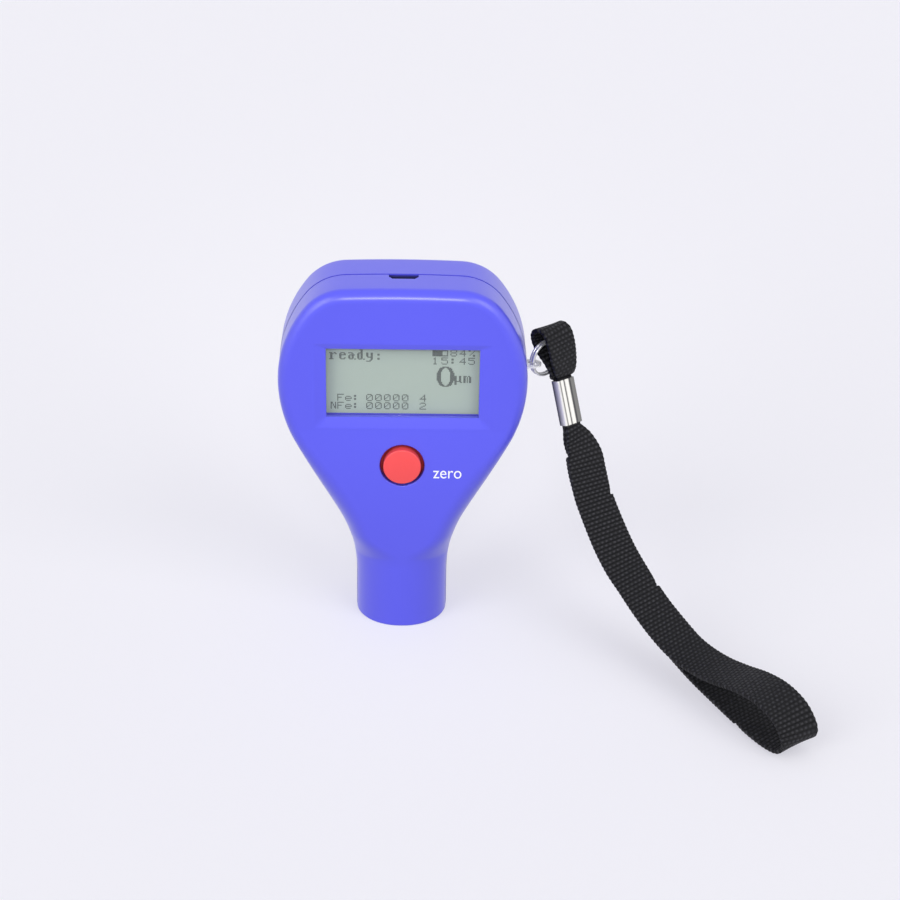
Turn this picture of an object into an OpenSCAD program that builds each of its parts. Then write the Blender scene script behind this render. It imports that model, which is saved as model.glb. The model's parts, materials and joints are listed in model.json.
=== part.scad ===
// Hand-held coating thickness gauge with a spring-loaded probe, a display,
// one button and a wrist strap. It stands on the rim of its round neck:
// X to the right, Y to the back, Z up, origin at the measuring point.

/* [Body outline] */
// Width of the head at its widest line
body_w = 66; // [62:0.5:74]
// Height of the body from the rim to the top
body_h = 100.4; // [98:0.2:106]
// Thickness of the head, front face to back face
body_t = 24.8; // [24:0.2:30]
// Outer diameter of the round neck
neck_d = 24.8; // [24:0.2:27]
// Height of the top above the widest line
crown_h = 26.6; // [25:0.2:28]
// Radius of the head's sides above the widest line
head_r = 33.9; // [30:0.3:36]
// Radius of the head's sides below the widest line
side_r = 39.6; // [35:0.3:44]
// Radius of the two top corners
corner_r = 14; // [9:0.5:17]
// Radius of the slightly crowned top
top_r = 400; // [180:10:600]
// Slope of the tapering sides against the vertical, in degrees
taper_deg = 26.6; // [24:0.2:30]
// Radius of the hollow curve between the taper and the neck
waist_r = 51.5; // [42:0.5:60]

/* [Body surface] */
// Wall of both shells
wall = 2; // [1.6:0.1:2.4]
// Rounding between the faces and the sides of the head
edge_r = 3.1; // [2.6:0.1:4]
// Rounding of the sides where the body tapers
side_round = 6.4; // [5:0.2:8]
// How far the front swells forward below the display
bulge = 0.9; // [0.2:0.1:1.6]
// Drop of the crease where the swell starts, below the widest line
brow_drop = 13.2; // [12.8:0.1:14.6]
// Height of the rounded tip of the flat front above the straight neck
tongue_up = 7.8; // [5:0.2:9]
// Length over which that tip rounds off
tongue_len = 8; // [6:0.5:10]

/* [Display] */
// Width of the display opening
window_w = 40.4; // [36:0.2:42]
// Height of the display opening
window_h = 20; // [17:0.1:20.4]
// Height of the middle of the display opening above the widest line
window_up = 0.3; // [0.1:0.1:1.6]
// Width of the sloping frame at the sides of the opening
frame_side = 3.1; // [2:0.1:3.6]
// Width of the sloping frame above the opening
frame_top = 1.5; // [1.2:0.1:2.6]
// Width of the sloping frame below the opening
frame_bottom = 3; // [2.5:0.1:3.4]
// Depth of the sloping frame at the opening
frame_depth = 0.9; // [0.5:0.1:1.2]
// Thickness of the clear window
pane_t = 1.2; // [0.8:0.1:1.5]
// Overlap of the clear window behind the wall
pane_lap = 2; // [1.2:0.1:2.5]
// Thickness of the display glass
lcd_t = 2.8; // [2.2:0.1:3]
// Border of the display glass round the opening
lcd_lap = 2.9; // [2:0.1:3.2]
// Thickness of the light guide behind the display
light_t = 1.6; // [1.2:0.1:2]

/* [Button] */
// Diameter of the button cap
button_d = 10.1; // [8:0.1:11]
// Gap round the button cap
button_gap = 0.9; // [0.5:0.1:1.2]
// Drop of the button's axis below the widest line
button_drop = 23.4; // [22.8:0.1:24.4]
// How far the cap stands out of the front
button_out = 1.2; // [1.1:0.1:3]
// Travel of the button
button_travel = 0.8; // [0.4:0.1:1]
// Width of the flange that keeps the button in
button_lip = 1.3; // [1:0.1:1.6]

/* [Electronics] */
// Thickness of the circuit board
board_t = 1.6; // [1:0.1:1.6]
// Drop of the board's lower edge below the widest line
board_drop = 31.4; // [30:0.2:33]
// Width of the data socket
usb_w = 7.4; // [7:0.1:8]
// Height of the data socket
usb_h = 2.55; // [2.4:0.05:2.7]
// Length of the data socket
usb_len = 5.2; // [4.6:0.1:5.2]

/* [Batteries] */
// Diameter of a cell
cell_d = 10.5; // [9.5:0.1:10.5]
// Length of a cell with its cap
cell_len = 44.5; // [42:0.5:44.5]
// Drop of the compartment's upper end below the top of the body
bay_drop = 8.4; // [8.4:0.1:9.4]
// Room for a contact spring at the end of a cell
spring_room = 5.4; // [4.6:0.1:5.6]
// Part of the compartment that the door leaves covered, at each end
door_cover = 3.3; // [2.9:0.1:4]
// Thickness of the battery door
door_t = 1.8; // [1.4:0.1:2]

/* [Probe] */
// Outer diameter of the sliding probe holder
probe_d = 14; // [12:0.1:14.6]
// How far the probe springs out of the rim
probe_travel = 1.5; // [0.8:0.1:2]
// Diameter of the steel core with the measuring tip
core_d = 3; // [2:0.1:3.6]
// Width of the lip at the neck's rim
rim_w = 3.8; // [3:0.1:4.2]
// Wire of the probe spring
spring_wire = 0.8; // [0.6:0.05:0.9]

/* [Fasteners] */
// Thread diameter of the case screws
screw_d = 2.2; // [2:0.1:2.6]
// Outer diameter of the screw bosses
boss_d = 5.6; // [5:0.1:6]
// Thread diameter of the board screws
board_screw_d = 1.7; // [1.5:0.1:2]

/* [Strap] */
// Height of the metal lug on the right side above the widest line
lug_up = 1; // [0.6:0.2:3]
// Width of the lug
lug_w = 4.8; // [4.4:0.1:6]
// Thickness of the lug
lug_t = 0.5; // [0.4:0.05:0.8]
// Mean diameter of the split ring
ring_d = 9.6; // [9.4:0.1:10]
// Wire of the split ring
ring_wire = 0.84; // [0.7:0.02:0.9]
// Turn of the ring about the lug's hole, in degrees
strap_turn = 38; // [30:1:44]
// Width of the woven band
band_w = 10.8; // [9:0.2:12]
// Thickness of the woven band
band_t = 1.2; // [0.9:0.05:1.3]
// Width of the band where it is gathered in the sleeve
gather_w = 5; // [4.6:0.1:5.6]
// Wall of the metal sleeve
sleeve_wall = 0.3; // [0.3:0.05:0.5]

/* [Hidden] */

$fn = 48;

// Clearances: seated faces, sliding fits, running gaps and gaps at openings
seat_gap = 0.05;
slide_gap = 0.2;
run_gap = 0.3;
cut = 1;

half_w = body_w / 2;
widest_z = body_h - crown_h;
half_t = body_t / 2;
neck_r = neck_d / 2;

// Outline: arcs and a line that meet without a corner
head_c = [half_w - head_r, widest_z];
side_c = [half_w - side_r, widest_z];
top_c = [0, body_h - top_r];
corner_reach = norm(top_c - head_c);
corner_dir = (top_c - head_c) / corner_reach;
corner_along = (pow(head_r - corner_r, 2) - pow(top_r - corner_r, 2) + pow(corner_reach, 2))
    / (2 * corner_reach);
corner_aside = sqrt(pow(head_r - corner_r, 2) - pow(corner_along, 2));
corner_c = head_c + corner_dir * corner_along
    + [-corner_dir.y, corner_dir.x] * corner_aside;
head_end = atan2(corner_c.y - head_c.y, corner_c.x - head_c.x);
corner_end = atan2(corner_c.y - top_c.y, corner_c.x - top_c.x);
taper_n = [cos(taper_deg), -sin(taper_deg)];
taper_top = side_c + side_r * taper_n;
waist_z = taper_top.y
    - (waist_r - (neck_r + waist_r - taper_top.x) * taper_n.x) / sin(taper_deg);
waist_c = [neck_r + waist_r, waist_z];
taper_foot = waist_c - waist_r * taper_n;
brow_z = widest_z - brow_drop;
tongue_z = waist_z + tongue_up;

// Stations on the right half of the outline, from the rim to the top: [x, z, normal x, normal z]
neck_steps = 5;
waist_steps = 15;
taper_steps = 5;
arc_steps = 6;
crown_steps = 3;
right_half = concat(
    [for (i = [0:neck_steps - 1]) [neck_r, waist_z * i / neck_steps, 1, 0]],
    [for (i = [0:waist_steps - 1]) let (n = [cos(taper_deg * i / waist_steps),
        -sin(taper_deg * i / waist_steps)], p = waist_c - waist_r * n) [p.x, p.y, n.x, n.y]],
    [for (i = [0:taper_steps - 1]) let (p = taper_foot + (taper_top - taper_foot) * i / taper_steps)
        [p.x, p.y, taper_n.x, taper_n.y]],
    arc_stations(side_c, side_r, -taper_deg, 0, arc_steps),
    arc_stations(head_c, head_r, 0, head_end, arc_steps),
    arc_stations(corner_c, corner_r, head_end, corner_end, arc_steps),
    arc_stations(top_c, top_r, corner_end, 90, crown_steps));
stations = concat(right_half,
    [for (i = [len(right_half) - 1:-1:0]) let (s = right_half[i]) [-s[0], s[1], -s[2], s[3]]]);

function arc_stations(c, r, from, to, steps) = [for (i = [0:steps - 1])
    let (a = from + (to - from) * i / steps) [c.x + r * cos(a), c.y + r * sin(a), cos(a), sin(a)]];

function smooth(q) = let (c = min(max(q, 0), 1)) c * c * (3 - 2 * c);

// Rounding: its depth into the face, its depth along Y and the flat that is left of the front
blend_top = brow_z - 0.6;
blend_low = widest_z - 37.8;
flat_min = 0.4;
rim_flat = 0.3;
function face_round(z) = edge_r + (side_round - edge_r) * smooth((blend_top - z) / (blend_top - blend_low));
function tongue(z) = z >= tongue_z + tongue_len ? 1
    : z <= tongue_z ? 0 : sqrt(1 - pow((tongue_z + tongue_len - z) / tongue_len, 2));
function depth_round(z, t) = edge_r
    + (t - rim_flat - edge_r) * smooth((blend_top - z) / (blend_top - tongue_z));

// Half thickness of the body at a height, with the swell of the front
function half_depth(z, swell) = half_t + (neck_r - half_t) * smooth((blend_low - z) / (blend_low - tongue_z))
    + (z > tongue_z && z < brow_z ? swell * sin(180 * (z - tongue_z) / (brow_z - tongue_z)) : 0);

// Points of one station from the parting plane to the face, inset from the outer surface
round_steps = 5;
function station_row(s, inset, swell) =
    let (
        z0 = s[1],
        n = [s[2], s[3]],
        p = [s[0], s[1]] - n * inset,
        side = abs(n.x),
        a0 = max(face_round(z0) - inset, 0.6),
        a = tongue(z0) == 1 ? a0
            : (abs(p.x) - max(flat_min, (abs(p.x) - a0 * side) * tongue(z0))) / side,
        face = p - n * a,
        t = half_depth(face.y, swell) - inset,
        b = max(depth_round(z0, t + inset) - inset, 0.6)
    )
    concat([[p.x, 0, p.y]], [for (k = [0:round_steps]) let (q = 90 * k / round_steps,
        c = p - n * a * (1 - cos(q))) [c.x, -(t - b) - b * sin(q), c.y]]);

row_len = round_steps + 2;

// Front half of the body between two insets, as one closed skin
module half_shell(inset_out, inset_in, swell) {
    count = len(stations);
    points = concat(
        [for (s = stations) each station_row(s, inset_out, swell)],
        [for (s = stations) each station_row(s, inset_in, swell)]);
    inner = count * row_len;
    last = row_len - 1;
    quads = concat(
        [for (i = [0:count - 2], r = [0:last - 1]) let (k = i * row_len + r)
            [k, k + 1, k + row_len + 1, k + row_len]],
        [for (i = [0:count / 2 - 2]) let (k = i * row_len + last, m = (count - 1 - i) * row_len + last)
            [k, m, m - row_len, k + row_len]]);
    rim = concat(
        [for (i = [0:count - 2]) [i * row_len, (i + 1) * row_len]],
        [for (r = [last:-1:1]) [(count - 1) * row_len + last - r, (count - 1) * row_len + last - r + 1]],
        [[(count - 1) * row_len + last, last]],
        [for (r = [last:-1:1]) [r, r - 1]]);
    polyhedron(points, concat(
        [for (q = quads) each [[q[0], q[1], q[2]], [q[0], q[2], q[3]]]],
        [for (q = quads) each [[inner + q[0], inner + q[2], inner + q[1]],
            [inner + q[0], inner + q[3], inner + q[2]]]],
        [for (e = rim) each [[e[0], e[1], inner + e[1]], [e[0], inner + e[1], inner + e[0]]]]));
}

// Flat outline of the body at the parting plane, inset
module outline(inset) {
    polygon([for (s = stations) [s[0] - s[2] * inset, s[1] - s[3] * inset]]);
}

// Stacking of the display and the board behind the front wall
window_z = widest_z + window_up;
board_z = widest_z - board_drop;
pane_y = -(half_t - wall);
lcd_y = pane_y + pane_t + seat_gap;
light_y = lcd_y + lcd_t + seat_gap;
board_y = light_y + light_t + seat_gap;
board_back = board_y + board_t;
usb_slant_w = 0.9;
usb_slant_h = 1.2;
usb_step = 1;

// Battery compartment, hung from the top of the body
cell_gap = 0.35;
contact_t = 0.4;
bay_wall = 1.2;
bay_len = cell_len + spring_room + 2 * (contact_t + seat_gap);
bay_z = body_h - bay_drop - bay_len;

// Places of the screws: [x, z]
case_screw_in = 11.5;
case_screw_up = 17.2;
low_screw_x = 7.5;
low_screw_drop = 4.4;
board_screw_in = [7, 7.4];
board_screw_up = [-9.8, 11.2];
case_screw_spots = [for (side = [-1, 1]) each [[side * (half_w - case_screw_in), widest_z + case_screw_up],
    [side * low_screw_x, bay_z - low_screw_drop]]];
board_screw_spots = [for (side = [-1, 1], k = [0, 1])
    [side * (half_w - board_screw_in[k]), widest_z + board_screw_up[k]]];
post_d = board_screw_d + 2.7;
head_d = screw_d + 2.2;
head_h = 1.6;
head_sink = 0.6;
screw_len = 15;
screw_seat = half_t - head_sink - head_h;
board_head_h = 1;
pilot_gap = 0.1;

// Button: face of the front at its axis
button_z = widest_z - button_drop;
button_face = -half_depth(button_z, bulge);
button_hole_d = button_d + 2 * button_gap;
button_flange_d = button_hole_d + 2 * button_lip;
button_flange_t = 1;
button_flange_y = wall + run_gap - half_depth(button_z + button_flange_d / 2, bulge);
switch_h = 2.6;
switch_top = board_y - switch_h - 0.6;

// Batteries
cell_y = half_t - wall - cell_gap - cell_d / 2;
cell_x = cell_d / 2 + cell_gap;
cell_z = bay_z + bay_len - contact_t - seat_gap - cell_len;
bay_half = cell_x + cell_d / 2 + cell_gap;
bay_floor = cell_y - cell_d / 2 - 0.25;
cap_d = 3.8;
cap_h = 1;

// Battery door and its hinge
door_gap = 0.3;
door_w = 2 * bay_half + 2.4;
door_z = bay_z + door_cover;
door_h = bay_len - 2 * door_cover + 0.8;
barrel_r = 0.8;
hinge_y = half_t - barrel_r;
hinge_z = door_z + barrel_r;
pivot_d = 0.8;
pivot_len = 0.9;
thumb_r = 5;

// Probe: rim lip, guide, holder and cap, stacked up the neck
lip_r = neck_r - rim_w;
lip_h = 2.2;
guide_r = neck_r - wall - run_gap;
guide_z = lip_h + seat_gap;
flange_w = 1.4;
flange_t = 2;
shoulder_z = 11.5;
guide_top = 19.6;
cap_t = 2;
cap_z = guide_top + seat_gap;
stop_z = cap_z + cap_t + seat_gap;
stop_t = 1.8;
holder_r = probe_d / 2;
bore_r = holder_r + slide_gap;
flange_r = holder_r + flange_w;
flange_z = shoulder_z + probe_travel + seat_gap;
holder_foot = 0.4;
holder_floor = 1.6;
cavity_r = holder_r - 1.6;
core_top = 10.6;
coil_h = 7;
spring_r = (cavity_r + flange_r) / 2 - 0.2;
spring_turns = 3;

// Lug and ring: the ring hangs in the lug's hole and turns about it
lug_z = widest_z + lug_up;
lug_out = 4;
lug_end = half_w + lug_out;
lug_hole_d = 2 * ring_wire + 0.92;
hole_x = lug_end - lug_w / 2;
anchor_w = 8.4;
anchor_t = 2;
ring_pitch = ring_wire + 0.06;
ring_z = lug_z + 0.45;
ring_x = sqrt(pow(ring_d / 2, 2) - pow(ring_z - lug_z, 2));

// Sleeve: middle of its upper end and its tilt in the strap's plane
sleeve_top = [3.1, 8.2, lug_z - 5.6];
sleeve_tilt = 20;
sleeve_len = 12.4;
sleeve_r = 0.6;
crease_d = 0.3;
layer = band_t / 2 + seat_gap;
leg_in = 5;
leg_out = 1;

// Routes of the woven band in the strap's plane: [away from the ring's plane, along the ring, up, width],
// the short loop's heights counted from the lug, the long band's from the floor
loop_route = [[2.6, 7.6, -3.6, 6.4], [2.7, 6.6, -1.9, 6.6], [1.3, 5.65, 0.1, 5.6], [-1.4, 5.1, 2.6, 5.5],
    [-2.6, 5.3, 5.4, 7.2], [-1.9, 5.5, 8, 8.8], [0.1, 6, 9.1, 9.2], [2.2, 6.5, 8.1, 9.4],
    [3.4, 6.9, 5.2, 9.2], [4, 7.4, 1.6, 8.7], [4.2, 7.9, -1.4, 7.8], [4, 8.2, -3.4, 6.6]];
band_route = [[10.3, 8.8, 53.4, 9], [12.6, 8.9, 49.6, band_w], [14.4, 8.8, 45, band_w],
    [16.6, 8.7, 40, band_w], [19.6, 8.5, 36, band_w], [22.9, 8.3, 32, band_w], [26.6, 8.1, 28, band_w],
    [31.2, 8, 24, band_w], [36.2, 8, 20.8, band_w], [42.2, 8, 16.9, band_w], [48.2, 8, 13.7, band_w],
    [54.2, 8, 11.3, band_w], [60.2, 8, 10.1, band_w], [67.2, 7.9, 10.1, band_w], [74.2, 7.8, 11.2, band_w],
    [82, 7.6, 12.9, band_w], [89, 7.3, 13.3, band_w], [95.2, 7.1, 11.6, band_w], [98.8, 7, 8.4, band_w],
    [99.6, 7, 5.6, band_w], [97.8, 7, 3.2, band_w], [93.6, 7.2, 2.3, band_w], [87, 7.6, 2.5, band_w],
    [79.5, 8.4, 3.2, band_w], [71, 9.4, 4.2, band_w], [62.6, 10.2, 5.6, band_w], [54.5, 10.7, 8, band_w],
    [46.5, 10.8, 11.2, band_w], [39.5, 10.8, 14.6, band_w], [32.5, 10.9, 19, band_w],
    [25.5, 11.1, 24.2, band_w], [19.7, 11.3, 30.2, band_w], [14.8, 11.3, 36.7, band_w],
    [11.5, 11, 43.3, band_w], [9.3, 10.2, 49.2, 9.6], [7.8, 9, 53.3, 7.4]];

// Lean of the band's far edge, and the length over which it grows from the sleeve
band_tilt = 0.22;
tilt_len = 18;

// Points in the sleeve: depth down its axis, on its near (1) or far (-1) side
function in_sleeve(depth, side) = [
    sleeve_top.x + depth * sin(sleeve_tilt) + side * layer * cos(sleeve_tilt), sleeve_top.y,
    sleeve_top.z - depth * cos(sleeve_tilt) + side * layer * sin(sleeve_tilt), gather_w];

// The long band reaches down from the sleeve: its upper half follows the lug's height
band_rise = lug_z - 74.8;
band_points = concat(
    [for (d = [leg_in, 2 * leg_in / 3, leg_in / 3, 0, -leg_out]) in_sleeve(sleeve_len - d, 1)],
    [for (p = band_route) [p[0], p[1], p[2] + band_rise * smooth(p[2] / 50), p[3]]],
    [for (d = [-leg_out, 0, leg_in / 3, 2 * leg_in / 3, leg_in]) in_sleeve(sleeve_len - d, -1)]);
loop_points = concat(
    [for (d = [leg_in, leg_in / 2, 0, -leg_out]) in_sleeve(d, -1)],
    [for (p = loop_route) [p[0], p[1], p[2] + lug_z, p[3]]],
    [for (d = [-leg_out, 0, leg_in / 2, leg_in]) in_sleeve(d, 1)]);

// Smooth curve through the points of a route
function spline(p, i, f) =
    let (a = p[max(i - 1, 0)], b = p[i], c = p[i + 1], d = p[min(i + 2, len(p) - 1)])
    b + ((c - a) * f + (2 * a - 5 * b + 4 * c - d) * f * f + (3 * b - a - 3 * c + d) * f * f * f) / 2;
function run(p, n) = concat([for (i = [0:len(p) - 2], k = [0:n - 1]) spline(p, i, k / n)], [p[len(p) - 1]]);
function unit(v) = v / norm(v);
function tangent(p, i) = unit(p[min(i + 1, len(p) - 1)] - p[max(i - 1, 0)]);
function lengths(p) = [for (i = 0, s = 0; i < len(p); i = i + 1,
    s = s + (i < len(p) ? norm(p[i] - p[i - 1]) : 0)) s];

// Cross-sections of a flat band along a path: w is its width there, tilt raises its far edge
function band_ring(p, i, w, tilt) =
    let (
        t = tangent(p, i),
        lean = [tilt, 1, tilt],
        across = unit(lean - t * (lean * t)),
        up = cross(t, across)
    )
    [for (c = [[-1, -1], [1, -1], [1, 1], [-1, 1]]) p[i] + across * c.x * w / 2 + up * c.y * band_t / 2];

// Closed skin over a list of rings with equally many points
module skin(rings) {
    n = len(rings[0]);
    m = len(rings);
    polyhedron([for (r = rings) each r], concat(
        [for (i = [0:m - 2], k = [0:n - 1]) let (a = i * n + k, b = i * n + (k + 1) % n)
            each [[a, b + n, b], [a, a + n, b + n]]],
        [for (k = [1:n - 2]) [0, k, k + 1]],
        [for (k = [1:n - 2]) [(m - 1) * n, (m - 1) * n + k + 1, (m - 1) * n + k]]));
}

// Coil of wire round the Z axis, tapering from one radius to another
module coil(r0, r1, wire, z0, z1, turns, steps) {
    total = turns * steps;
    skin([for (i = [0:total]) let (a = 360 * i / steps, r = r0 + (r1 - r0) * i / total,
        z = z0 + (z1 - z0) * i / total) [for (k = [0:5]) let (q = -60 * k)
            [(r + wire / 2 * cos(q)) * cos(a), (r + wire / 2 * cos(q)) * sin(a), z + wire / 2 * sin(q)]]]);
}

// Cylinder along Y from one depth to another
module peg(spot, d, from, to) {
    translate([spot.x, to, spot.y]) rotate([90, 0, 0]) cylinder(d = d, h = to - from);
}

// Plate with rounded corners in the XZ plane
module plate(w, h, z, r, from, to) {
    translate([0, to, z]) rotate([90, 0, 0]) linear_extrude(to - from) union() {
        square([w - 2 * r, h], center = true);
        square([w, h - 2 * r], center = true);
        for (x = [-1, 1], y = [-1, 1]) translate([x * (w / 2 - r), y * (h / 2 - r)]) circle(r);
    }
}

// Half ring inside the neck on the front side
module half_ring(r_in, r_out, z, h) {
    translate([0, 0, z]) rotate([0, 0, 180]) rotate_extrude(angle = 180)
        translate([r_in, 0]) square([r_out - r_in, h]);
}

// What both shells have: skin, rim lip and the stop above the probe
module shell_body(swell) {
    half_shell(0, wall, swell);
    half_ring(lip_r, neck_r - wall / 2, 0, lip_h);
    half_ring(spring_r - 1, neck_r - wall / 2, stop_z, stop_t);
}

module lug_slot() {
    translate([half_w - wall - cut, -lug_w / 2 - slide_gap, lug_z - lug_t / 2 - slide_gap])
        cube([wall + 2 * cut, lug_w + 2 * slide_gap, lug_t + 2 * slide_gap]);
}

// Sloping frame round the display opening
module frame_cut() {
    low = window_z - window_h / 2;
    high = window_z + window_h / 2;
    hull() {
        translate([-window_w / 2, -half_t + frame_depth - 0.01, low]) cube([window_w, 0.01, window_h]);
        translate([-window_w / 2 - frame_side, -half_t - 0.02, low - frame_bottom])
            cube([window_w + 2 * frame_side, 0.01, window_h + frame_bottom + frame_top]);
    }
}

module front_shell() {
    color("royalblue") difference() {
        union() {
            shell_body(bulge);
            for (s = case_screw_spots) peg(s, boss_d, pane_y - wall / 2, 0);
            for (s = board_screw_spots) peg(s, post_d, pane_y - wall / 2, board_y - seat_gap);
        }
        plate(window_w, window_h, window_z, 0.4, -half_t - cut, pane_y + cut);
        frame_cut();
        peg([0, button_z], button_hole_d, button_face - cut, button_face + wall + cut);
        translate([0, 0, body_h - wall - cut]) linear_extrude(wall + 2 * cut) {
            offset(delta = slide_gap) usb_outline();
            translate([-usb_w / 2 - slide_gap, -usb_step]) square([usb_w + 2 * slide_gap, usb_step + cut]);
        }
        lug_slot();
        for (s = case_screw_spots) peg(s, screw_d + pilot_gap, screw_seat - screw_len - cut, cut);
        for (s = board_screw_spots) peg(s, board_screw_d + pilot_gap, pane_y + 0.2, 0);
    }
}

module rear_shell() {
    pivot_w = door_w + 2 * (pivot_len + slide_gap);
    color("royalblue") difference() {
        union() {
            mirror([0, 1, 0]) shell_body(0);
            for (s = case_screw_spots) peg(s, boss_d, 0, half_t - wall / 2);
            translate([-bay_half - bay_wall, bay_floor - bay_wall, bay_z - bay_wall])
                cube([2 * (bay_half + bay_wall), half_t - wall / 2 - bay_floor + bay_wall,
                    bay_len + 2 * bay_wall]);
        }
        translate([-bay_half, bay_floor, bay_z])
            cube([2 * bay_half, half_t - wall - bay_floor, bay_len]);
        translate([-door_w / 2 - door_gap, half_t - door_t - run_gap, door_z - door_gap])
            cube([door_w + 2 * door_gap, half_t, door_h + 2 * door_gap]);
        translate([-pivot_w / 2, hinge_y, hinge_z]) rotate([0, 90, 0])
            cylinder(d = pivot_d + slide_gap, h = pivot_w);
        peg([0, door_z + door_h + door_gap], 2 * thumb_r, half_t - wall / 2, half_t + cut);
        lug_slot();
        for (s = case_screw_spots) peg(s, screw_d + 2 * slide_gap, -cut, half_t + cut);
        for (s = case_screw_spots) peg(s, head_d + 2 * slide_gap, screw_seat, half_t + cut);
    }
}

module battery_door() {
    pivot_w = door_w + 2 * pivot_len;
    color("royalblue") union() {
        translate([-door_w / 2, half_t - door_t, hinge_z]) cube([door_w, door_t, door_z + door_h - hinge_z]);
        translate([-door_w / 2, hinge_y, hinge_z]) rotate([0, 90, 0]) cylinder(r = barrel_r, h = door_w);
        translate([-pivot_w / 2, hinge_y, hinge_z]) rotate([0, 90, 0]) cylinder(d = pivot_d, h = pivot_w);
        for (k = [0:4]) translate([-4, half_t, door_z + door_h - 6 - 1.6 * k]) rotate([0, 90, 0])
            cylinder(d = 0.7, h = 8);
    }
}

module display_window() {
    color([0.8, 0.85, 0.85, 0.4])
        plate(window_w + 2 * pane_lap, window_h + 2 * pane_lap, window_z, 0.8, pane_y, pane_y + pane_t);
}

module lcd_panel() {
    color("darkseagreen")
        plate(window_w + 2 * lcd_lap, window_h + 2 * lcd_lap, window_z, 0.3, lcd_y, lcd_y + lcd_t);
}

module lcd_backlight() {
    color("whitesmoke")
        plate(window_w + 2 * lcd_lap, window_h + lcd_lap, window_z, 0.5, light_y, light_y + light_t);
}

module main_board() {
    board_gap = 0.8;
    color("seagreen") difference() {
        translate([0, board_back, 0]) rotate([90, 0, 0]) linear_extrude(board_t) intersection() {
            outline(wall + board_gap);
            translate([-half_w, board_z]) square([body_w, body_h - board_z]);
        }
        for (s = case_screw_spots) peg(s, boss_d + 2 * board_gap, board_y - cut, board_back + cut);
        for (s = board_screw_spots) peg(s, board_screw_d + 2 * slide_gap, board_y - cut, board_back + cut);
        translate([half_w - wall - anchor_t - board_gap, board_y - cut, lug_z - lug_t / 2 - board_gap])
            cube([half_w, board_t + 2 * cut, lug_t + 2 * board_gap]);
    }
}

module controller_chip() {
    side = 9;
    pins = 10;
    spot = [15, button_z + 2.6];
    body_y = 1.3;
    color("dimgray") translate([spot.x, board_y, spot.y]) {
        translate([-side / 2, -body_y, -side / 2]) cube([side, body_y - 0.1, side]);
        for (q = [0:3], k = [0:pins - 1]) rotate([0, 90 * q, 0])
            translate([side / 2 - 0.1, -0.6, (k - (pins - 1) / 2) * 0.8 - 0.15]) cube([1.1, 0.6, 0.3]);
    }
}

module beeper() {
    spot = [-16, button_z + 2.6];
    color("black") difference() {
        peg(spot, 9, board_y - 3.2, board_y);
        peg(spot, 1.6, board_y - 3.2 - cut, board_y - 2);
    }
}

// Section of the data socket: its front corners are cut off at a slant
module usb_outline() {
    w = usb_w / 2;
    low = board_back + seat_gap;
    polygon([[-w, low + usb_h], [-w, low + usb_slant_h], [-w + usb_slant_w, low],
        [w - usb_slant_w, low], [w, low + usb_slant_h], [w, low + usb_h]]);
}

module usb_socket() {
    metal = 0.3;
    mid = board_back + seat_gap + usb_h / 2;
    color("silver") translate([0, 0, body_h - 0.6 - usb_len]) {
        difference() {
            linear_extrude(usb_len) usb_outline();
            translate([0, 0, 1]) linear_extrude(usb_len) offset(delta = -metal) usb_outline();
        }
        translate([-usb_w / 2 + 1.6, mid - 0.2, 0.5]) cube([usb_w - 3.2, 0.6, usb_len - 1.2]);
    }
}

module zero_button() {
    front = button_face - button_out;
    crown_r = 0.5;
    color("red") translate([0, front, button_z]) rotate([-90, 0, 0]) rotate_extrude()
        polygon(concat(
            [[0, 0]],
            [for (k = [0:4]) let (q = 22.5 * k)
                [button_d / 2 - crown_r + crown_r * sin(q), crown_r - crown_r * cos(q)]],
            [[button_d / 2, button_flange_y - front], [button_flange_d / 2, button_flange_y - front],
                [button_flange_d / 2, button_flange_y - front + button_flange_t],
                [1.75, button_flange_y - front + button_flange_t],
                [1.75, switch_top - button_travel - 0.1 - front],
                [0, switch_top - button_travel - 0.1 - front]]));
}

module button_switch() {
    body = 6;
    color("dimgray") union() {
        translate([-body / 2, board_y - switch_h, button_z - body / 2]) cube([body, switch_h, body]);
        peg([0, button_z], 3.4, switch_top, board_y - switch_h / 2);
    }
}

module probe_guide() {
    color("dimgray") translate([0, 0, guide_z]) rotate_extrude() polygon([
        [bore_r, 0], [guide_r, 0], [guide_r, guide_top - guide_z],
        [flange_r + slide_gap, guide_top - guide_z], [flange_r + slide_gap, shoulder_z - guide_z],
        [bore_r, shoulder_z - guide_z]]);
}

module probe_cap() {
    color("dimgray") translate([0, 0, cap_z]) difference() {
        cylinder(r = guide_r, h = cap_t);
        translate([0, 0, -cut]) cylinder(r = 3, h = cap_t + 2 * cut);
    }
}

module probe_holder() {
    color("black") rotate_extrude() polygon([
        [core_d / 2 + slide_gap / 2, holder_foot], [holder_r - 0.6, holder_foot],
        [holder_r, holder_foot + 0.6], [holder_r, flange_z], [flange_r, flange_z],
        [flange_r, flange_z + flange_t],
        [cavity_r, flange_z + flange_t], [cavity_r, holder_foot + holder_floor],
        [core_d / 2 + slide_gap / 2, holder_foot + holder_floor]]);
}

module probe_core() {
    r = core_d / 2;
    color("silver") rotate_extrude() polygon(concat(
        [for (k = [0:6]) let (q = 15 * k) [r * sin(q), r - r * cos(q)]], [[r, core_top], [0, core_top]]));
}

module probe_coil() {
    z = holder_foot + holder_floor + seat_gap;
    color("peru") translate([0, 0, z]) rotate_extrude() polygon([
        [core_d / 2 + slide_gap / 2, 0], [cavity_r - slide_gap, 0], [cavity_r - slide_gap, 0.8],
        [cavity_r - 0.9, 0.8], [cavity_r - 0.9, coil_h - 0.8], [cavity_r - slide_gap, coil_h - 0.8],
        [cavity_r - slide_gap, coil_h], [core_d / 2 + slide_gap / 2, coil_h]]);
}

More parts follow.
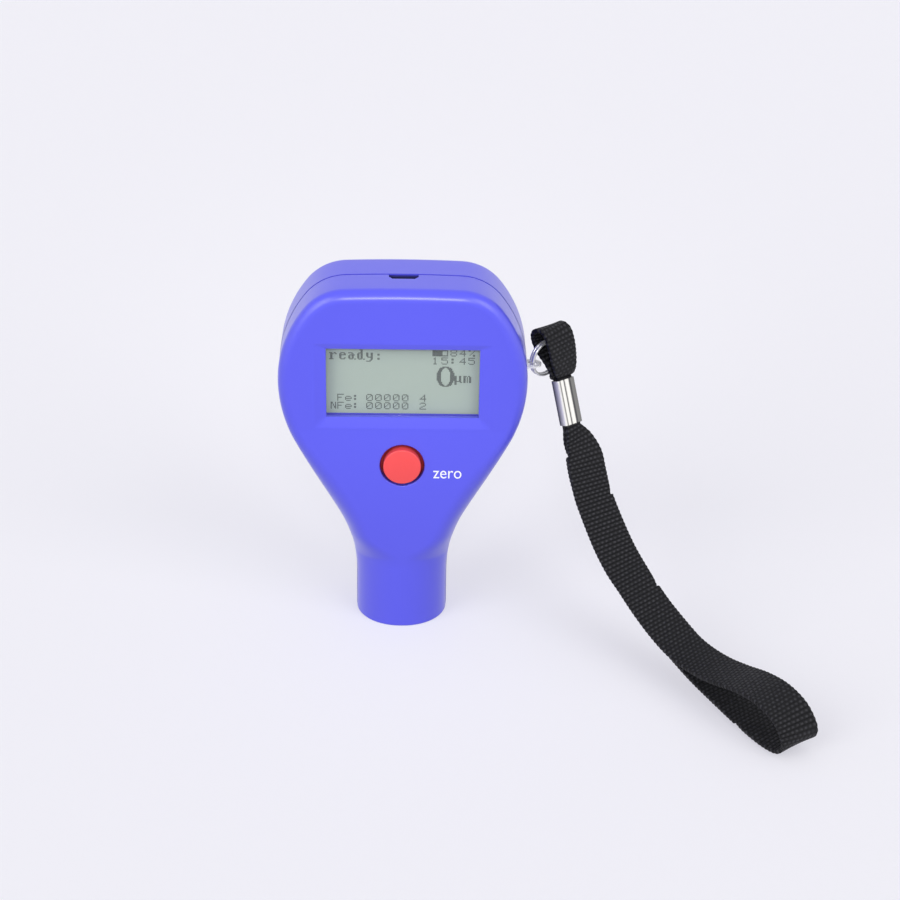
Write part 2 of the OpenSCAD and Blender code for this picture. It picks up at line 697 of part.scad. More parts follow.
module probe_spring() {
    low = flange_z + flange_t + seat_gap + spring_wire / 2;
    color("silver") coil(spring_r, spring_r, spring_wire, low,
        guide_top - seat_gap - spring_wire / 2, spring_turns, 16);
}

// Dry cell with its cap at the upper end
module cell(shade) {
    color(shade) rotate_extrude() polygon([[0, 0], [cell_d / 2 - 0.5, 0], [cell_d / 2, 0.5],
        [cell_d / 2, cell_len - cap_h - 0.5], [cell_d / 2 - 0.5, cell_len - cap_h],
        [cap_d / 2, cell_len - cap_h], [cap_d / 2, cell_len], [0, cell_len]]);
}

module cell_left() {
    translate([-cell_x, cell_y, cell_z]) cell("dimgray");
}

module cell_right() {
    translate([cell_x, cell_y, cell_z + cell_len]) rotate([180, 0, 0]) cell("dimgray");
}

module cell_springs() {
    wire = 0.6;
    low = bay_z + contact_t + seat_gap + wire / 2;
    color("silver") for (side = [-1, 1]) translate([side * cell_x, cell_y, 0])
        coil(3.2, 1.7, wire, low, cell_z - seat_gap - wire / 2, 4, 14);
}

module cell_contacts() {
    size = 8;
    color("silver") for (side = [-1, 1], z = [bay_z, bay_z + bay_len - contact_t])
        translate([side * cell_x - size / 2, cell_y - size / 2, z]) cube([size, size, contact_t]);
}

// Pan-head screw along Y, its head at the back
module screw(spot, d, head, tall, back, reach) {
    peg(spot, d, back - reach, back + 0.01);
    difference() {
        peg(spot, head, back, back + tall);
        for (q = [0, 90]) translate([spot.x, back + tall, spot.y]) rotate([0, q, 0])
            cube([head * 0.6, tall, head * 0.16], center = true);
    }
}

module case_screws() {
    color("silver") for (s = case_screw_spots)
        screw(s, screw_d, head_d, head_h, screw_seat, screw_len);
}

module board_screws() {
    color("silver") for (s = board_screw_spots)
        screw(s, board_screw_d, board_screw_d + 1.7, board_head_h, board_back + seat_gap, 5);
}

module strap_lug() {
    inner = half_w - wall - slide_gap;
    color("gainsboro") translate([0, 0, lug_z - lug_t / 2]) linear_extrude(lug_t) difference() {
        union() {
            translate([inner - 0.01, -lug_w / 2]) square([hole_x - inner, lug_w]);
            translate([hole_x, 0]) circle(d = lug_w);
            translate([inner - anchor_t, -anchor_w / 2]) square([anchor_t, anchor_w]);
        }
        translate([hole_x, 0]) circle(d = lug_hole_d);
    }
}

// The strap's own frame: X along the ring, -Y away from the ring's plane, Z up
module strap_place() {
    translate([hole_x, 0, 0]) rotate([0, 0, strap_turn]) children();
}

module split_ring() {
    steps = 36;
    r = ring_d / 2;
    color("silver") strap_place() translate([ring_x, 0, ring_z])
        skin([for (i = [0:2 * steps]) let (a = 360 * i / steps - 60, y = ring_pitch * (i / steps - 1))
            [for (k = [0:7]) let (q = 45 * k, far = r + ring_wire / 2 * cos(q))
                [far * cos(a), y + ring_wire / 2 * sin(q), far * sin(a)]]]);
}

// A route's point in the strap's frame
function strap_point(p) = [p.y, -p.x, p.z];

// Band along a route: each point brings its width, the far edge leans out away from the ends
module woven(points, tilt) {
    route = run(points, 2);
    path = [for (q = route) [q[0], q[1], q[2]]];
    s = lengths(path);
    total = s[len(s) - 1];
    skin([for (i = [0:len(path) - 1])
        let (
            end = min(s[i], total - s[i]) - leg_in,
            ring = band_ring(path, i, route[i][3], tilt * smooth(end / tilt_len))
        )
        [for (c = ring) strap_point(c)]]);
}

module strap_loop() {
    color("black") strap_place() woven(loop_points, 0);
}

module strap_band() {
    color("black") strap_place() woven(band_points, band_tilt);
}

module strap_crimp() {
    inner_t = 2 * (layer + band_t / 2 + 2 * seat_gap);
    inner_w = gather_w + 4 * seat_gap;
    outer_t = inner_t + 2 * sleeve_wall;
    color("silver") strap_place() translate(strap_point(sleeve_top)) rotate([-sleeve_tilt, 0, 0])
        translate([0, 0, -sleeve_len]) linear_extrude(sleeve_len) difference() {
            rounded(inner_w + 2 * sleeve_wall, outer_t, sleeve_r);
            rounded(inner_w, inner_t, sleeve_r - sleeve_wall);
            for (x = [-1, 1], y = [-1, 1])
                translate([x * inner_w / 6, y * outer_t / 2]) circle(d = crease_d);
        }
}

// Flat section with rounded corners
module rounded(w, t, r) {
    square([w, t - 2 * r], center = true);
    square([w - 2 * r, t], center = true);
    for (x = [-1, 1], y = [-1, 1]) translate([x * (w / 2 - r), y * (t / 2 - r)]) circle(r = r);
}

front_shell();
rear_shell();
battery_door();
display_window();
lcd_panel();
lcd_backlight();
main_board();
controller_chip();
beeper();
usb_socket();
zero_button();
button_switch();
probe_guide();
probe_cap();
probe_holder();
probe_core();
probe_coil();
probe_spring();
cell_left();
cell_right();
cell_springs();
cell_contacts();
case_screws();
board_screws();
strap_lug();
split_ring();
strap_loop();
strap_crimp();
strap_band();
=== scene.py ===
# %% [markdown]
# # A coating thickness gauge, dressed over its solids
# A gauge of this kind is stood on a painted panel, and its display gives the thickness of the paint.
# Its solids come from CAD with their sizes and their motion. This script gives the looks: the moulded
# blue case, the display, the red button and the woven wrist strap. Lengths in the formulas are
# millimetres, and `MM` turns them into the metres of the scene. X is to the right, Y to the back, Z up.

# %% Setup
import json
import math

import bpy
import numpy as np
from mathutils import Matrix, Vector


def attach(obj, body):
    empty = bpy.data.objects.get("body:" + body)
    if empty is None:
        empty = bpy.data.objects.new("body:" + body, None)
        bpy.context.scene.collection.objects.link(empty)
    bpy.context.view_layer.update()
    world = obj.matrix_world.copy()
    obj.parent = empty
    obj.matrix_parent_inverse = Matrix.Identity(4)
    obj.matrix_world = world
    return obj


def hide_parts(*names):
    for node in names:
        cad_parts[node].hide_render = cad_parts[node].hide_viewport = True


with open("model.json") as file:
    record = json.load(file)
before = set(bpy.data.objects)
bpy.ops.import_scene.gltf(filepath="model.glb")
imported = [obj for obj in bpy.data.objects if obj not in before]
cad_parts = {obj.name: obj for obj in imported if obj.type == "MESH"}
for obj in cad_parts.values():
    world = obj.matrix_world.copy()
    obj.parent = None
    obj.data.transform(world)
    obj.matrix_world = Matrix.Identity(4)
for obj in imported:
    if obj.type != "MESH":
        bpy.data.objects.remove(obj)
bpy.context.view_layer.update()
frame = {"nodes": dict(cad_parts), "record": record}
MM = 0.001


def new_object(name, data):
    """Object that holds the data, linked to the scene at the origin."""
    made = bpy.data.objects.new(name, data)
    bpy.context.scene.collection.objects.link(made)
    return made


# %% [markdown]
# ## Camera
# The photograph is square and looks down on the gauge a little. A camera can be moved by hand until
# the picture fits, but then its place can't be checked or repeated. Here the view is an eye point,
# three angles and a focal length in pixels of a 900 pixel wide frame. They were fitted to the
# photograph, and the camera's axes follow from them.

# %% Camera
EYE = (4.01, -571.7, 341.7)
YAW, PITCH, ROLL = (math.radians(a) for a in (0.894, 27.138, 1.009))
FOCAL_PX, FRAME_PX = 2357.6, 900


def camera_axes(yaw, pitch, roll):
    """Right, up and forward of a view that is turned by yaw, looks down by pitch and leans by roll."""
    forward = Vector((math.sin(yaw) * math.cos(pitch), math.cos(yaw) * math.cos(pitch), -math.sin(pitch)))
    level = Vector((math.cos(yaw), -math.sin(yaw), 0))
    above = level.cross(forward)
    right = level * math.cos(roll) + above * math.sin(roll)
    return right, right.cross(forward), forward


def add_camera():
    """A camera at EYE with the fitted angles."""
    right, up, forward = camera_axes(YAW, PITCH, ROLL)
    camera = new_object("camera", bpy.data.cameras.new("camera"))
    turn = Matrix((right, up, -forward)).transposed().to_4x4()
    camera.matrix_world = Matrix.Translation(Vector(EYE) * MM) @ turn
    camera.data.sensor_fit = "AUTO"
    camera.data.angle = 2 * math.atan(FRAME_PX / 2 / FOCAL_PX)
    camera.data.clip_start = 10 * MM
    bpy.context.scene.camera = camera
    return camera


camera = add_camera()
print("camera:", [round(v, 3) for v in camera.location], "angle", round(math.degrees(camera.data.angle), 2))

# %% [markdown]
# ## Meshes from arrays
# Every new surface below is a grid of points that a formula gives. Primitives and modifiers would be
# quicker for simple forms, but a formula can repeat the exact arcs of the solids, so nothing has to be
# fitted by eye. `grid_faces` joins a grid's neighbours to four-sided faces, and `mesh_piece` makes an
# object of points and faces that stays at the origin and moves with one body of the part.


# %% Mesh helpers
def grid_faces(rows, cols, wrap_cols=False, first=0):
    """Quads of a rows x cols grid stored row by row from point first; wrap joins the last column to the first."""
    i = np.arange(rows - 1)[:, None]
    j = np.arange(cols if wrap_cols else cols - 1)[None, :]
    a, b = i * cols + j, i * cols + (j + 1) % cols
    return np.stack([a, b, b + cols, a + cols], axis=-1).reshape(-1, 4) + first


def tube_faces(rows, cols):
    """Quads of a tube of rows rings with cols points each, and one many-sided face at each end."""
    ring = np.arange(cols)
    ends = [ring[::-1].tolist(), ((rows - 1) * cols + ring).tolist()]
    return grid_faces(rows, cols, wrap_cols=True).tolist() + ends


def mesh_piece(name, points, faces, material, body="gauge", uv=None, smooth=True, node=None, slot=None,
               marks=None):
    """Object of points (mm) and faces that rides on a body, may stand for a CAD node and takes a finish; slot is
    not used.

    uv holds a place in mm along and across the piece for each point, marks a number from 0 to 1.
    """
    mesh = bpy.data.meshes.new(name)
    faces = faces.tolist() if isinstance(faces, np.ndarray) else faces
    mesh.from_pydata((np.asarray(points, float).reshape(-1, 3) * MM).tolist(), [], faces)
    mesh.update()
    mesh.polygons.foreach_set("use_smooth", np.full(len(mesh.polygons), smooth))
    if uv is not None:
        loops = np.empty(len(mesh.loops), np.int32)
        mesh.loops.foreach_get("vertex_index", loops)
        layer = mesh.uv_layers.new(name="length_width")
        layer.data.foreach_set("uv", np.asarray(uv, float).reshape(-1, 2)[loops].ravel())
    if marks is not None:
        layer = mesh.attributes.new("marks", "FLOAT", "POINT")
        layer.data.foreach_set("value", np.asarray(marks, np.float32).ravel())
    mesh.materials.append(material)
    piece = new_object(name, mesh)
    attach(piece, body)
    if node:
        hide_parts(node)
    return piece


def smooth_step(q):
    """0 below 0, 1 above 1 and 3q^2 - 2q^3 between."""
    c = np.clip(q, 0, 1)
    return c * c * (3 - 2 * c)


def upright(wide, y, low, high):
    """Corners of an upright rectangle that reaches as far to the left as to the right."""
    return [[-wide, y, low], [wide, y, low], [wide, y, high], [-wide, y, high]]


print("a grid of 3 x 4 points has", len(grid_faces(3, 4)), "faces, as a tube", len(tube_faces(3, 4)))

# %% [markdown]
# ## Shaders by hand
# A material is a small network. Each one starts from Blender's Principled shader, and what changes
# over the surface is linked into it. Linking nodes one by one is long, so two short helpers make a
# plain material and a sum. A value that is the same all over stays on the shader's own socket, where
# an export can still read it.


# %% Shader helpers
def shader_of(material):
    """The Principled shader of a material."""
    return material.node_tree.nodes["Principled BSDF"]


def plain_material(name, colour, roughness=0.5, metallic=0.0):
    """A principled material with fixed values, to which patterns are added."""
    material = bpy.data.materials.new(name)
    material.use_nodes = True
    shader = shader_of(material)
    shader.inputs["Base Color"].default_value = (*colour, 1)
    shader.inputs["Roughness"].default_value = roughness
    shader.inputs["Metallic"].default_value = metallic
    return material


def math_node(tree, operation, a, b=None, c=None):
    """Math node; a, b and c are sockets or numbers."""
    node = tree.nodes.new("ShaderNodeMath")
    node.operation = operation
    for k, value in enumerate((a, b, c)):
        if value is None:
            continue
        if isinstance(value, (int, float)):
            node.inputs[k].default_value = value
        else:
            tree.links.new(value, node.inputs[k])
    return node.outputs[0]


def tint(material, factor, colour, other):
    """Base colour that goes from one colour to another as the factor's socket goes from 0 to 1."""
    tree = material.node_tree
    shade = tree.nodes.new("ShaderNodeMix")
    shade.data_type = "RGBA"
    shade.inputs["A"].default_value = (*colour, 1)
    shade.inputs["B"].default_value = (*other, 1)
    tree.links.new(factor, shade.inputs["Factor"])
    tree.links.new(shade.outputs["Result"], shader_of(material).inputs["Base Color"])


# %% [markdown]
# ## Floor and light
# The gauge stands on a pale, even ground with soft shadows. A bright world alone would wash the shape
# out, and strong lamps would bleach the blue. So the floor looks pale by a glow that only the eye and
# mirrors see, while two broad lamps and a weak white world light the part at a plain level. Two white
# cards and a dark one are there for shiny surfaces only. The floor turns up far behind, so that no
# horizon shows from any side.

# %% Floor
FLOOR_REACH, BEND_Y, BEND_R, BACKDROP_TOP = 4500, 900, 400, 2200


def floor_material(paint, glow):
    """Dull floor that keeps shadows, with a glow for the eye and for mirrors, not for the light on the part."""
    material = plain_material("floor_pale", paint, 0.8)
    tree, shader = material.node_tree, shader_of(material)
    path = tree.nodes.new("ShaderNodeLightPath").outputs
    eye = math_node(tree, "MAXIMUM", path["Is Camera Ray"], path["Is Glossy Ray"])
    mirror = math_node(tree, "MAXIMUM", eye, path["Is Transmission Ray"])
    tree.links.new(mirror, shader.inputs["Emission Strength"])
    shader.inputs["Emission Color"].default_value = (*glow, 1)
    return material


def add_floor():
    """Floor that curves up into a backdrop: a quarter circle of radius BEND_R that starts at BEND_Y."""
    turn = np.radians(np.linspace(0, 90, 25))
    bend = np.stack([BEND_Y + BEND_R * np.sin(turn), BEND_R - BEND_R * np.cos(turn)], 1)
    line = np.concatenate([[[-FLOOR_REACH, 0]], bend, [[BEND_Y + BEND_R, BACKDROP_TOP]]])
    sides = np.array([[-FLOOR_REACH, FLOOR_REACH]])
    points = np.stack(np.broadcast_arrays(sides, line[:, :1], line[:, 1:]), -1).reshape(-1, 3)
    mesh = bpy.data.meshes.new("floor")
    mesh.from_pydata((points * MM).tolist(), [], grid_faces(len(line), 2).tolist())
    mesh.polygons.foreach_set("use_smooth", np.full(len(mesh.polygons), True))
    mesh.materials.append(floor_material(paint=(0.44, 0.44, 0.445), glow=(0.455, 0.448, 0.5)))
    return new_object("floor", mesh)


floor = add_floor()
print("floor:", len(floor.data.polygons), "faces")


# %% Lamps, cards and world
def add_sun(name, towards, strength, spread):
    """Far lamp that shines along a direction, with a soft edge of spread degrees."""
    data = bpy.data.lights.new(name, "SUN")
    data.energy, data.angle = strength, math.radians(spread)
    lamp = new_object(name, data)
    lamp.rotation_euler = Vector(towards).to_track_quat("-Z", "Y").to_euler()
    return lamp


def add_spot(name, place, target, power, spread, size):
    """Soft spot of a size that lights the head of the part a little more than its foot."""
    data = bpy.data.lights.new(name, "SPOT")
    data.energy, data.spot_size, data.spot_blend = power, math.radians(spread), 1
    data.shadow_soft_size = size * MM
    lamp = new_object(name, data)
    lamp.location = Vector(place) * MM
    lamp.rotation_euler = (Vector(target) - Vector(place)).to_track_quat("-Z", "Y").to_euler()
    return lamp


def add_card(name, centre, wide, tall, light):
    """Upright card that faces the part, for mirroring surfaces alone: white with light 1, dark with 0."""
    away = Vector((centre[0], centre[1], 0)).normalized()
    side = Vector((-away.y, away.x, 0)) * wide / 2
    low, high = Vector((0, 0, -tall / 2)), Vector((0, 0, tall / 2))
    corners = [Vector(centre) + s + h for s, h in ((-side, low), (side, low), (side, high), (-side, high))]
    mesh = bpy.data.meshes.new(name)
    mesh.from_pydata([tuple(c * MM) for c in corners], [], [(0, 1, 2, 3)])
    paint = plain_material(name, (0.02, 0.02, 0.022), 0.9)
    shader_of(paint).inputs["Emission Color"].default_value = (1, 1, 1, 1)
    shader_of(paint).inputs["Emission Strength"].default_value = light
    mesh.materials.append(paint)
    card = new_object(name, mesh)
    card.visible_camera = card.visible_shadow = card.visible_diffuse = card.visible_transmission = False
    return card


def add_world(strength, colour):
    """Even light from all round."""
    world = bpy.data.worlds.new("even_white")
    world.use_nodes = True
    back = world.node_tree.nodes["Background"]
    back.inputs["Color"].default_value = (*colour, 1)
    back.inputs["Strength"].default_value = strength
    bpy.context.scene.world = world


left_lamp = add_sun("left_lamp", towards=(0.66, 0.62, -0.48), strength=1.2, spread=40)
right_lamp = add_sun("right_lamp", towards=(-0.62, 0.6, -0.55), strength=1.0, spread=40)
head_lamp = add_spot("head_lamp", place=(0, -450, 330), target=(0, -12, 84), power=3.6, spread=21, size=60)
cards = [add_card("card_dark", (430, 300, 120), wide=300, tall=400, light=0),
         add_card("card_right", (430, -120, 170), wide=420, tall=420, light=1),
         add_card("card_left", (-430, -160, 200), wide=380, tall=420, light=1)]
add_world(strength=0.6, colour=(0.98, 0.98, 1))
bpy.context.scene.view_settings.view_transform = "Standard"
print("stage:", floor.name, [card.name for card in cards], left_lamp.name, right_lamp.name, head_lamp.name)

# %% [markdown]
# ## Shared effects
# Several finishes need the same effect at another scale. A node group holds such an effect once, with
# named inputs, and each material places it with its own values. An image would be fixed to one size
# and one piece, while noise in object coordinates fits any surface and any scale.


# %% Group helpers
def new_group(name, inputs, outputs):
    """Empty shader node group with float or vector sockets; returns it with its two end nodes."""
    group = bpy.data.node_groups.new(name, "ShaderNodeTree")
    for socket, kind in inputs:
        group.interface.new_socket(socket, in_out="INPUT", socket_type=kind)
    for socket, kind in outputs:
        group.interface.new_socket(socket, in_out="OUTPUT", socket_type=kind)
    return group, group.nodes.new("NodeGroupInput"), group.nodes.new("NodeGroupOutput")


def placed(material, group, **values):
    """Place a group in a material with its inputs set; returns its outputs."""
    node = material.node_tree.nodes.new("ShaderNodeGroup")
    node.node_tree = group
    for socket, value in values.items():
        node.inputs[socket].default_value = value
    return node.outputs


# %% [markdown]
# ### Moulded grain
# Moulded plastic is never quite smooth: the steel of the mould leaves a very fine grain, which makes
# the highlights soft. It could be carved into the mesh, but at a tenth of a millimetre that costs
# millions of faces. A bump from fine noise tilts the normals alone, which is all that the eye sees.


# %% Grain group
def grain_group():
    """Fine noise as a bumped normal: Scale per metre, Strength 0 to 1."""
    group, start, end = new_group("moulded_grain",
                                  [("Scale", "NodeSocketFloat"), ("Strength", "NodeSocketFloat")],
                                  [("Normal", "NodeSocketVector")])
    place = group.nodes.new("ShaderNodeTexCoord")
    noise = group.nodes.new("ShaderNodeTexNoise")
    noise.inputs["Detail"].default_value = 2
    bump = group.nodes.new("ShaderNodeBump")
    bump.inputs["Distance"].default_value = 0.1 * MM
    group.links.new(place.outputs["Object"], noise.inputs["Vector"])
    group.links.new(start.outputs["Scale"], noise.inputs["Scale"])
    group.links.new(start.outputs["Strength"], bump.inputs["Strength"])
    group.links.new(noise.outputs["Fac"], bump.inputs["Height"])
    group.links.new(bump.outputs["Normal"], end.inputs["Normal"])
    return group


GRAIN = grain_group()


def moulded(name, colour, roughness, scale=4000, strength=0.06):
    """Plastic with moulded grain."""
    material = plain_material(name, colour, roughness)
    grain = placed(material, GRAIN, Scale=scale, Strength=strength)
    material.node_tree.links.new(grain["Normal"], shader_of(material).inputs["Normal"])
    return material


def glossed(material, weight, roughness):
    """The same finish under a thin clear gloss, which whitens the sides that are seen at a flat angle."""
    shader_of(material).inputs["Coat Weight"].default_value = weight
    shader_of(material).inputs["Coat Roughness"].default_value = roughness
    return material


print("group:", GRAIN.name, len(GRAIN.nodes), "nodes")

# %% [markdown]
# ### Mottle
# Metal, print and display glass vary a little from place to place, in colour and in gloss. A single
# colour looks like a toy. Soft noise that wanders between two close colours is enough here, and the
# same noise moves the roughness. Drawn out along Z, it turns into the fine lines of drawn metal.


# %% Mottle group
def mottle_group():
    """Soft noise from 0 to 1: Scale per metre, Stretch below 1 draws it out along Z."""
    group, start, end = new_group("mottle",
                                  [("Scale", "NodeSocketFloat"), ("Stretch", "NodeSocketFloat")],
                                  [("Amount", "NodeSocketFloat")])
    place = group.nodes.new("ShaderNodeTexCoord")
    parts, joined = group.nodes.new("ShaderNodeSeparateXYZ"), group.nodes.new("ShaderNodeCombineXYZ")
    noise = group.nodes.new("ShaderNodeTexNoise")
    noise.inputs["Detail"].default_value = 3
    drawn = math_node(group, "MULTIPLY", parts.outputs["Z"], start.outputs["Stretch"])
    group.links.new(place.outputs["Object"], parts.inputs["Vector"])
    group.links.new(parts.outputs["X"], joined.inputs["X"])
    group.links.new(parts.outputs["Y"], joined.inputs["Y"])
    group.links.new(drawn, joined.inputs["Z"])
    group.links.new(joined.outputs["Vector"], noise.inputs["Vector"])
    group.links.new(start.outputs["Scale"], noise.inputs["Scale"])
    group.links.new(noise.outputs["Fac"], end.inputs["Amount"])
    return group


MOTTLE = mottle_group()


def mottled(name, colour, other, roughness, metallic=0.0, scale=900, stretch=1.0, spread=0.12):
    """Finish that wanders between two colours and round a roughness."""
    material = plain_material(name, colour, roughness, metallic)
    amount = placed(material, MOTTLE, Scale=scale, Stretch=stretch)["Amount"]
    tint(material, amount, colour, other)
    rough = math_node(material.node_tree, "MULTIPLY_ADD", amount, spread, roughness - spread / 2)
    material.node_tree.links.new(rough, shader_of(material).inputs["Roughness"])
    return material


print("group:", MOTTLE.name, len(MOTTLE.nodes), "nodes")

# %% [markdown]
# ### Weave
# The strap is black webbing: thick ribs across the band, each a row of beads where the threads cross,
# set off by half a bead from rib to rib. Real threads as geometry would be very heavy. Two sine waves
# on the band's own length and width give the same relief as a bump, and the crowns of the threads,
# which catch the light, get a lighter colour. Some noise keeps the cloth from looking printed.


# %% Weave group
def weave_group():
    """Woven ribs of a Length, beaded by threads of a Width.

    With u, v the place in cells, v shifted by half a cell at every other rib, and n a soft noise, the
    height is |sin(pi u)|^0.7 (0.45 + 0.55 |sin(pi v)|) (0.55 + 0.9 n).
    """
    group, start, end = new_group("weave", [("Length", "NodeSocketFloat"), ("Width", "NodeSocketFloat")],
                                  [("Height", "NodeSocketFloat")])

    def wave(turns):
        """|sin(pi turns)|."""
        sine = math_node(group, "SINE", math_node(group, "MULTIPLY", turns, math.pi))
        return math_node(group, "ABSOLUTE", sine)

    uv = group.nodes.new("ShaderNodeUVMap")
    uv.uv_map = "length_width"
    parts = group.nodes.new("ShaderNodeSeparateXYZ")
    group.links.new(uv.outputs["UV"], parts.inputs["Vector"])
    along = math_node(group, "DIVIDE", parts.outputs["X"], start.outputs["Length"])
    cells = math_node(group, "DIVIDE", parts.outputs["Y"], start.outputs["Width"])
    shift = math_node(group, "MULTIPLY", math_node(group, "FLOOR", along), 0.5)
    across = math_node(group, "ADD", cells, shift)
    noise = group.nodes.new("ShaderNodeTexNoise")
    noise.inputs["Scale"].default_value, noise.inputs["Detail"].default_value = 0.9, 1
    group.links.new(uv.outputs["UV"], noise.inputs["Vector"])
    ribs = math_node(group, "POWER", wave(along), 0.7)
    beads = math_node(group, "MULTIPLY_ADD", wave(across), 0.55, 0.45)
    uneven = math_node(group, "MULTIPLY_ADD", noise.outputs["Fac"], 0.9, 0.55)
    height = math_node(group, "MULTIPLY", math_node(group, "MULTIPLY", ribs, beads), uneven)
    group.links.new(height, end.inputs["Height"])
    return group


WEAVE = weave_group()


def woven(name, dark, light, length, width):
    """Webbing: the weave's height bumps the surface and lightens the crowns of the threads as a painted
    highlight.
    """
    material = plain_material(name, dark, 0.6)
    tree, shader = material.node_tree, shader_of(material)
    shader.inputs["Specular IOR Level"].default_value = 0.25
    height = placed(material, WEAVE, Length=length, Width=width)["Height"]
    # Painted highlight: the crowns of the threads take the lighter colour.
    tint(material, math_node(tree, "POWER", height, 4.0), dark, light)
    bump = tree.nodes.new("ShaderNodeBump")
    bump.inputs["Distance"].default_value = 0.3 * MM
    bump.inputs["Strength"].default_value = 1.0
    tree.links.new(height, bump.inputs["Height"])
    tree.links.new(bump.outputs["Normal"], shader.inputs["Normal"])
    return material


print("group:", WEAVE.name, len(WEAVE.nodes), "nodes")

# %% [markdown]
# ### Clear pane
# A thin clear window covers the display. Glass with true refraction is the obvious way, but behind it
# the display would only be lit by rays that happen to bend the right way, and it turns noisy and dark.
# So light goes straight through, and a mirror is mixed in by Fresnel's law. On the inner faces that
# law would mirror everything at a flat angle, so the mix counts where light comes in and not behind.


# %% Clear pane
def clear_pane(name):
    """Thin clear window: lets light straight through and mirrors a little where light comes in."""
    material = bpy.data.materials.new(name)
    material.use_nodes = True
    tree = material.node_tree
    tree.nodes.remove(shader_of(material))
    clear = tree.nodes.new("ShaderNodeBsdfTransparent")
    clear.inputs["Color"].default_value = (0.97, 0.98, 0.97, 1)
    gloss = tree.nodes.new("ShaderNodeBsdfGlossy")
    gloss.inputs["Roughness"].default_value = 0.02
    fresnel = tree.nodes.new("ShaderNodeFresnel")
    fresnel.inputs["IOR"].default_value = 1.3
    side = tree.nodes.new("ShaderNodeNewGeometry")
    facing = math_node(tree, "SUBTRACT", 1.0, side.outputs["Backfacing"])
    mix = tree.nodes.new("ShaderNodeMixShader")
    tree.links.new(math_node(tree, "MULTIPLY", fresnel.outputs[0], facing), mix.inputs[0])
    tree.links.new(clear.outputs[0], mix.inputs[1])
    tree.links.new(gloss.outputs[0], mix.inputs[2])
    tree.links.new(mix.outputs[0], tree.nodes["Material Output"].inputs["Surface"])
    return material


# %% [markdown]
# ### The finishes
# One finish for each slot of the record, and three for print and display. The colours are those of
# the surfaces themselves, as they would be under plain white light, and not those of one picture; only
# the strip under the display is painted shade, and the lighter crowns of the webbing a painted highlight.

# %% Finishes
MATERIALS = {
    "case_blue": glossed(moulded("case_blue", (0.083, 0.086, 0.77), 0.3), 0.5, 0.35),
    "button_red": moulded("button_red", (0.84, 0.072, 0.077), 0.3),
    "window_clear": clear_pane("window_clear"),
    "lcd_grey": mottled("lcd_grey", (0.4, 0.458, 0.432), (0.418, 0.476, 0.45), 0.45, scale=300),
    "light_white": mottled("light_white", (0.8, 0.8, 0.78), (0.74, 0.74, 0.72), 0.6),
    "board_green": mottled("board_green", (0.02, 0.15, 0.05), (0.03, 0.2, 0.06), 0.4, scale=1500),
    "chip_black": mottled("chip_black", (0.01, 0.01, 0.01), (0.02, 0.02, 0.02), 0.5, scale=3000),
    "probe_black": moulded("probe_black", (0.015, 0.015, 0.016), 0.5),
    "steel": mottled("steel", (0.62, 0.62, 0.63), (0.5, 0.5, 0.51), 0.28, 1.0, 5000, 0.08),
    "copper": mottled("copper", (0.6, 0.25, 0.1), (0.45, 0.16, 0.05), 0.35, 1.0, 4000, 6),
    "cell_wrap": mottled("cell_wrap", (0.045, 0.055, 0.075), (0.06, 0.07, 0.09), 0.3, scale=400),
    "lug_bright": mottled("lug_bright", (0.9, 0.9, 0.9), (0.78, 0.78, 0.78), 0.3, 0.15, 2500),
    "ring_chrome": mottled("ring_chrome", (0.78, 0.78, 0.79), (0.66, 0.66, 0.67), 0.2, 0.6, 3000),
    "webbing": woven("webbing", (0.0025, 0.0025, 0.004), (0.036, 0.036, 0.042), 1.15, 1.3),
}
INK = mottled("lcd_ink", (0.1, 0.112, 0.115), (0.125, 0.138, 0.14), 0.5, scale=2000)
# Painted shade for the strip under the display's lower edge, where the frame's wall casts its shadow.
DISPLAY_EDGE_SHADE = mottled("lcd_edge_shade", (0.1, 0.09, 0.68), (0.12, 0.11, 0.75), 0.6)
WHITE = mottled("print_white", (0.9, 0.9, 0.92), (0.82, 0.82, 0.86), 0.5, scale=2500)
print("materials:", len(bpy.data.materials))

# %% [markdown]
# ## Solids that show as they are
# Inner pieces, screws, contacts and the flat back of the case are right as CAD made them. They could
# be modelled again, but that only adds places for errors. Each solid keeps its shape and takes the
# finish of its slot, and its curved faces are shaded smooth up to an angle.


# %% Dress the solids
def dress_solids(angle):
    """Give each solid its slot's material and smooth shading below an angle in degrees."""
    for entry in frame["record"]["subparts"]:
        solid = frame["nodes"][entry["node"]]
        solid.data.materials.clear()
        solid.data.materials.append(MATERIALS[entry["material_slot"]])
        solid.data.shade_smooth()
        solid.data.set_sharp_from_angle(angle=math.radians(angle))


dress_solids(angle=32)
# The data socket's metal is painted near-black blue: painted shade in its recess.
frame["nodes"]["usb_socket"].data.materials[0] = moulded("socket_painted_shade", (0.008, 0.008, 0.06), 0.5)

# %% [markdown]
# ## The outline of the case
# Seen from the front, the case is a paddle: a round neck, a hollow waist, a taper, a broad head and
# a slightly crowned top. Tracing it from the picture would give a wobbly line. The maker drew it with
# arcs and lines that run into each other, so it is worked out in the same way here: each arc's centre
# follows from the arcs that it touches. The result is a row of stations with their outward normals.

# %% Outline sizes
BODY_W, BODY_H, BODY_T, NECK_D, CROWN_H = 66, 100.4, 24.8, 24.8, 26.6
HEAD_R, SIDE_R, CORNER_R, TOP_R, WAIST_R = 33.9, 39.6, 14, 400, 51.5
TAPER = math.radians(26.6)
HALF_W, HALF_T, NECK_R, WIDEST_Z = BODY_W / 2, BODY_T / 2, NECK_D / 2, BODY_H - CROWN_H
print("case:", BODY_W, "x", BODY_T, "x", BODY_H, "mm, widest at", round(WIDEST_Z, 1))


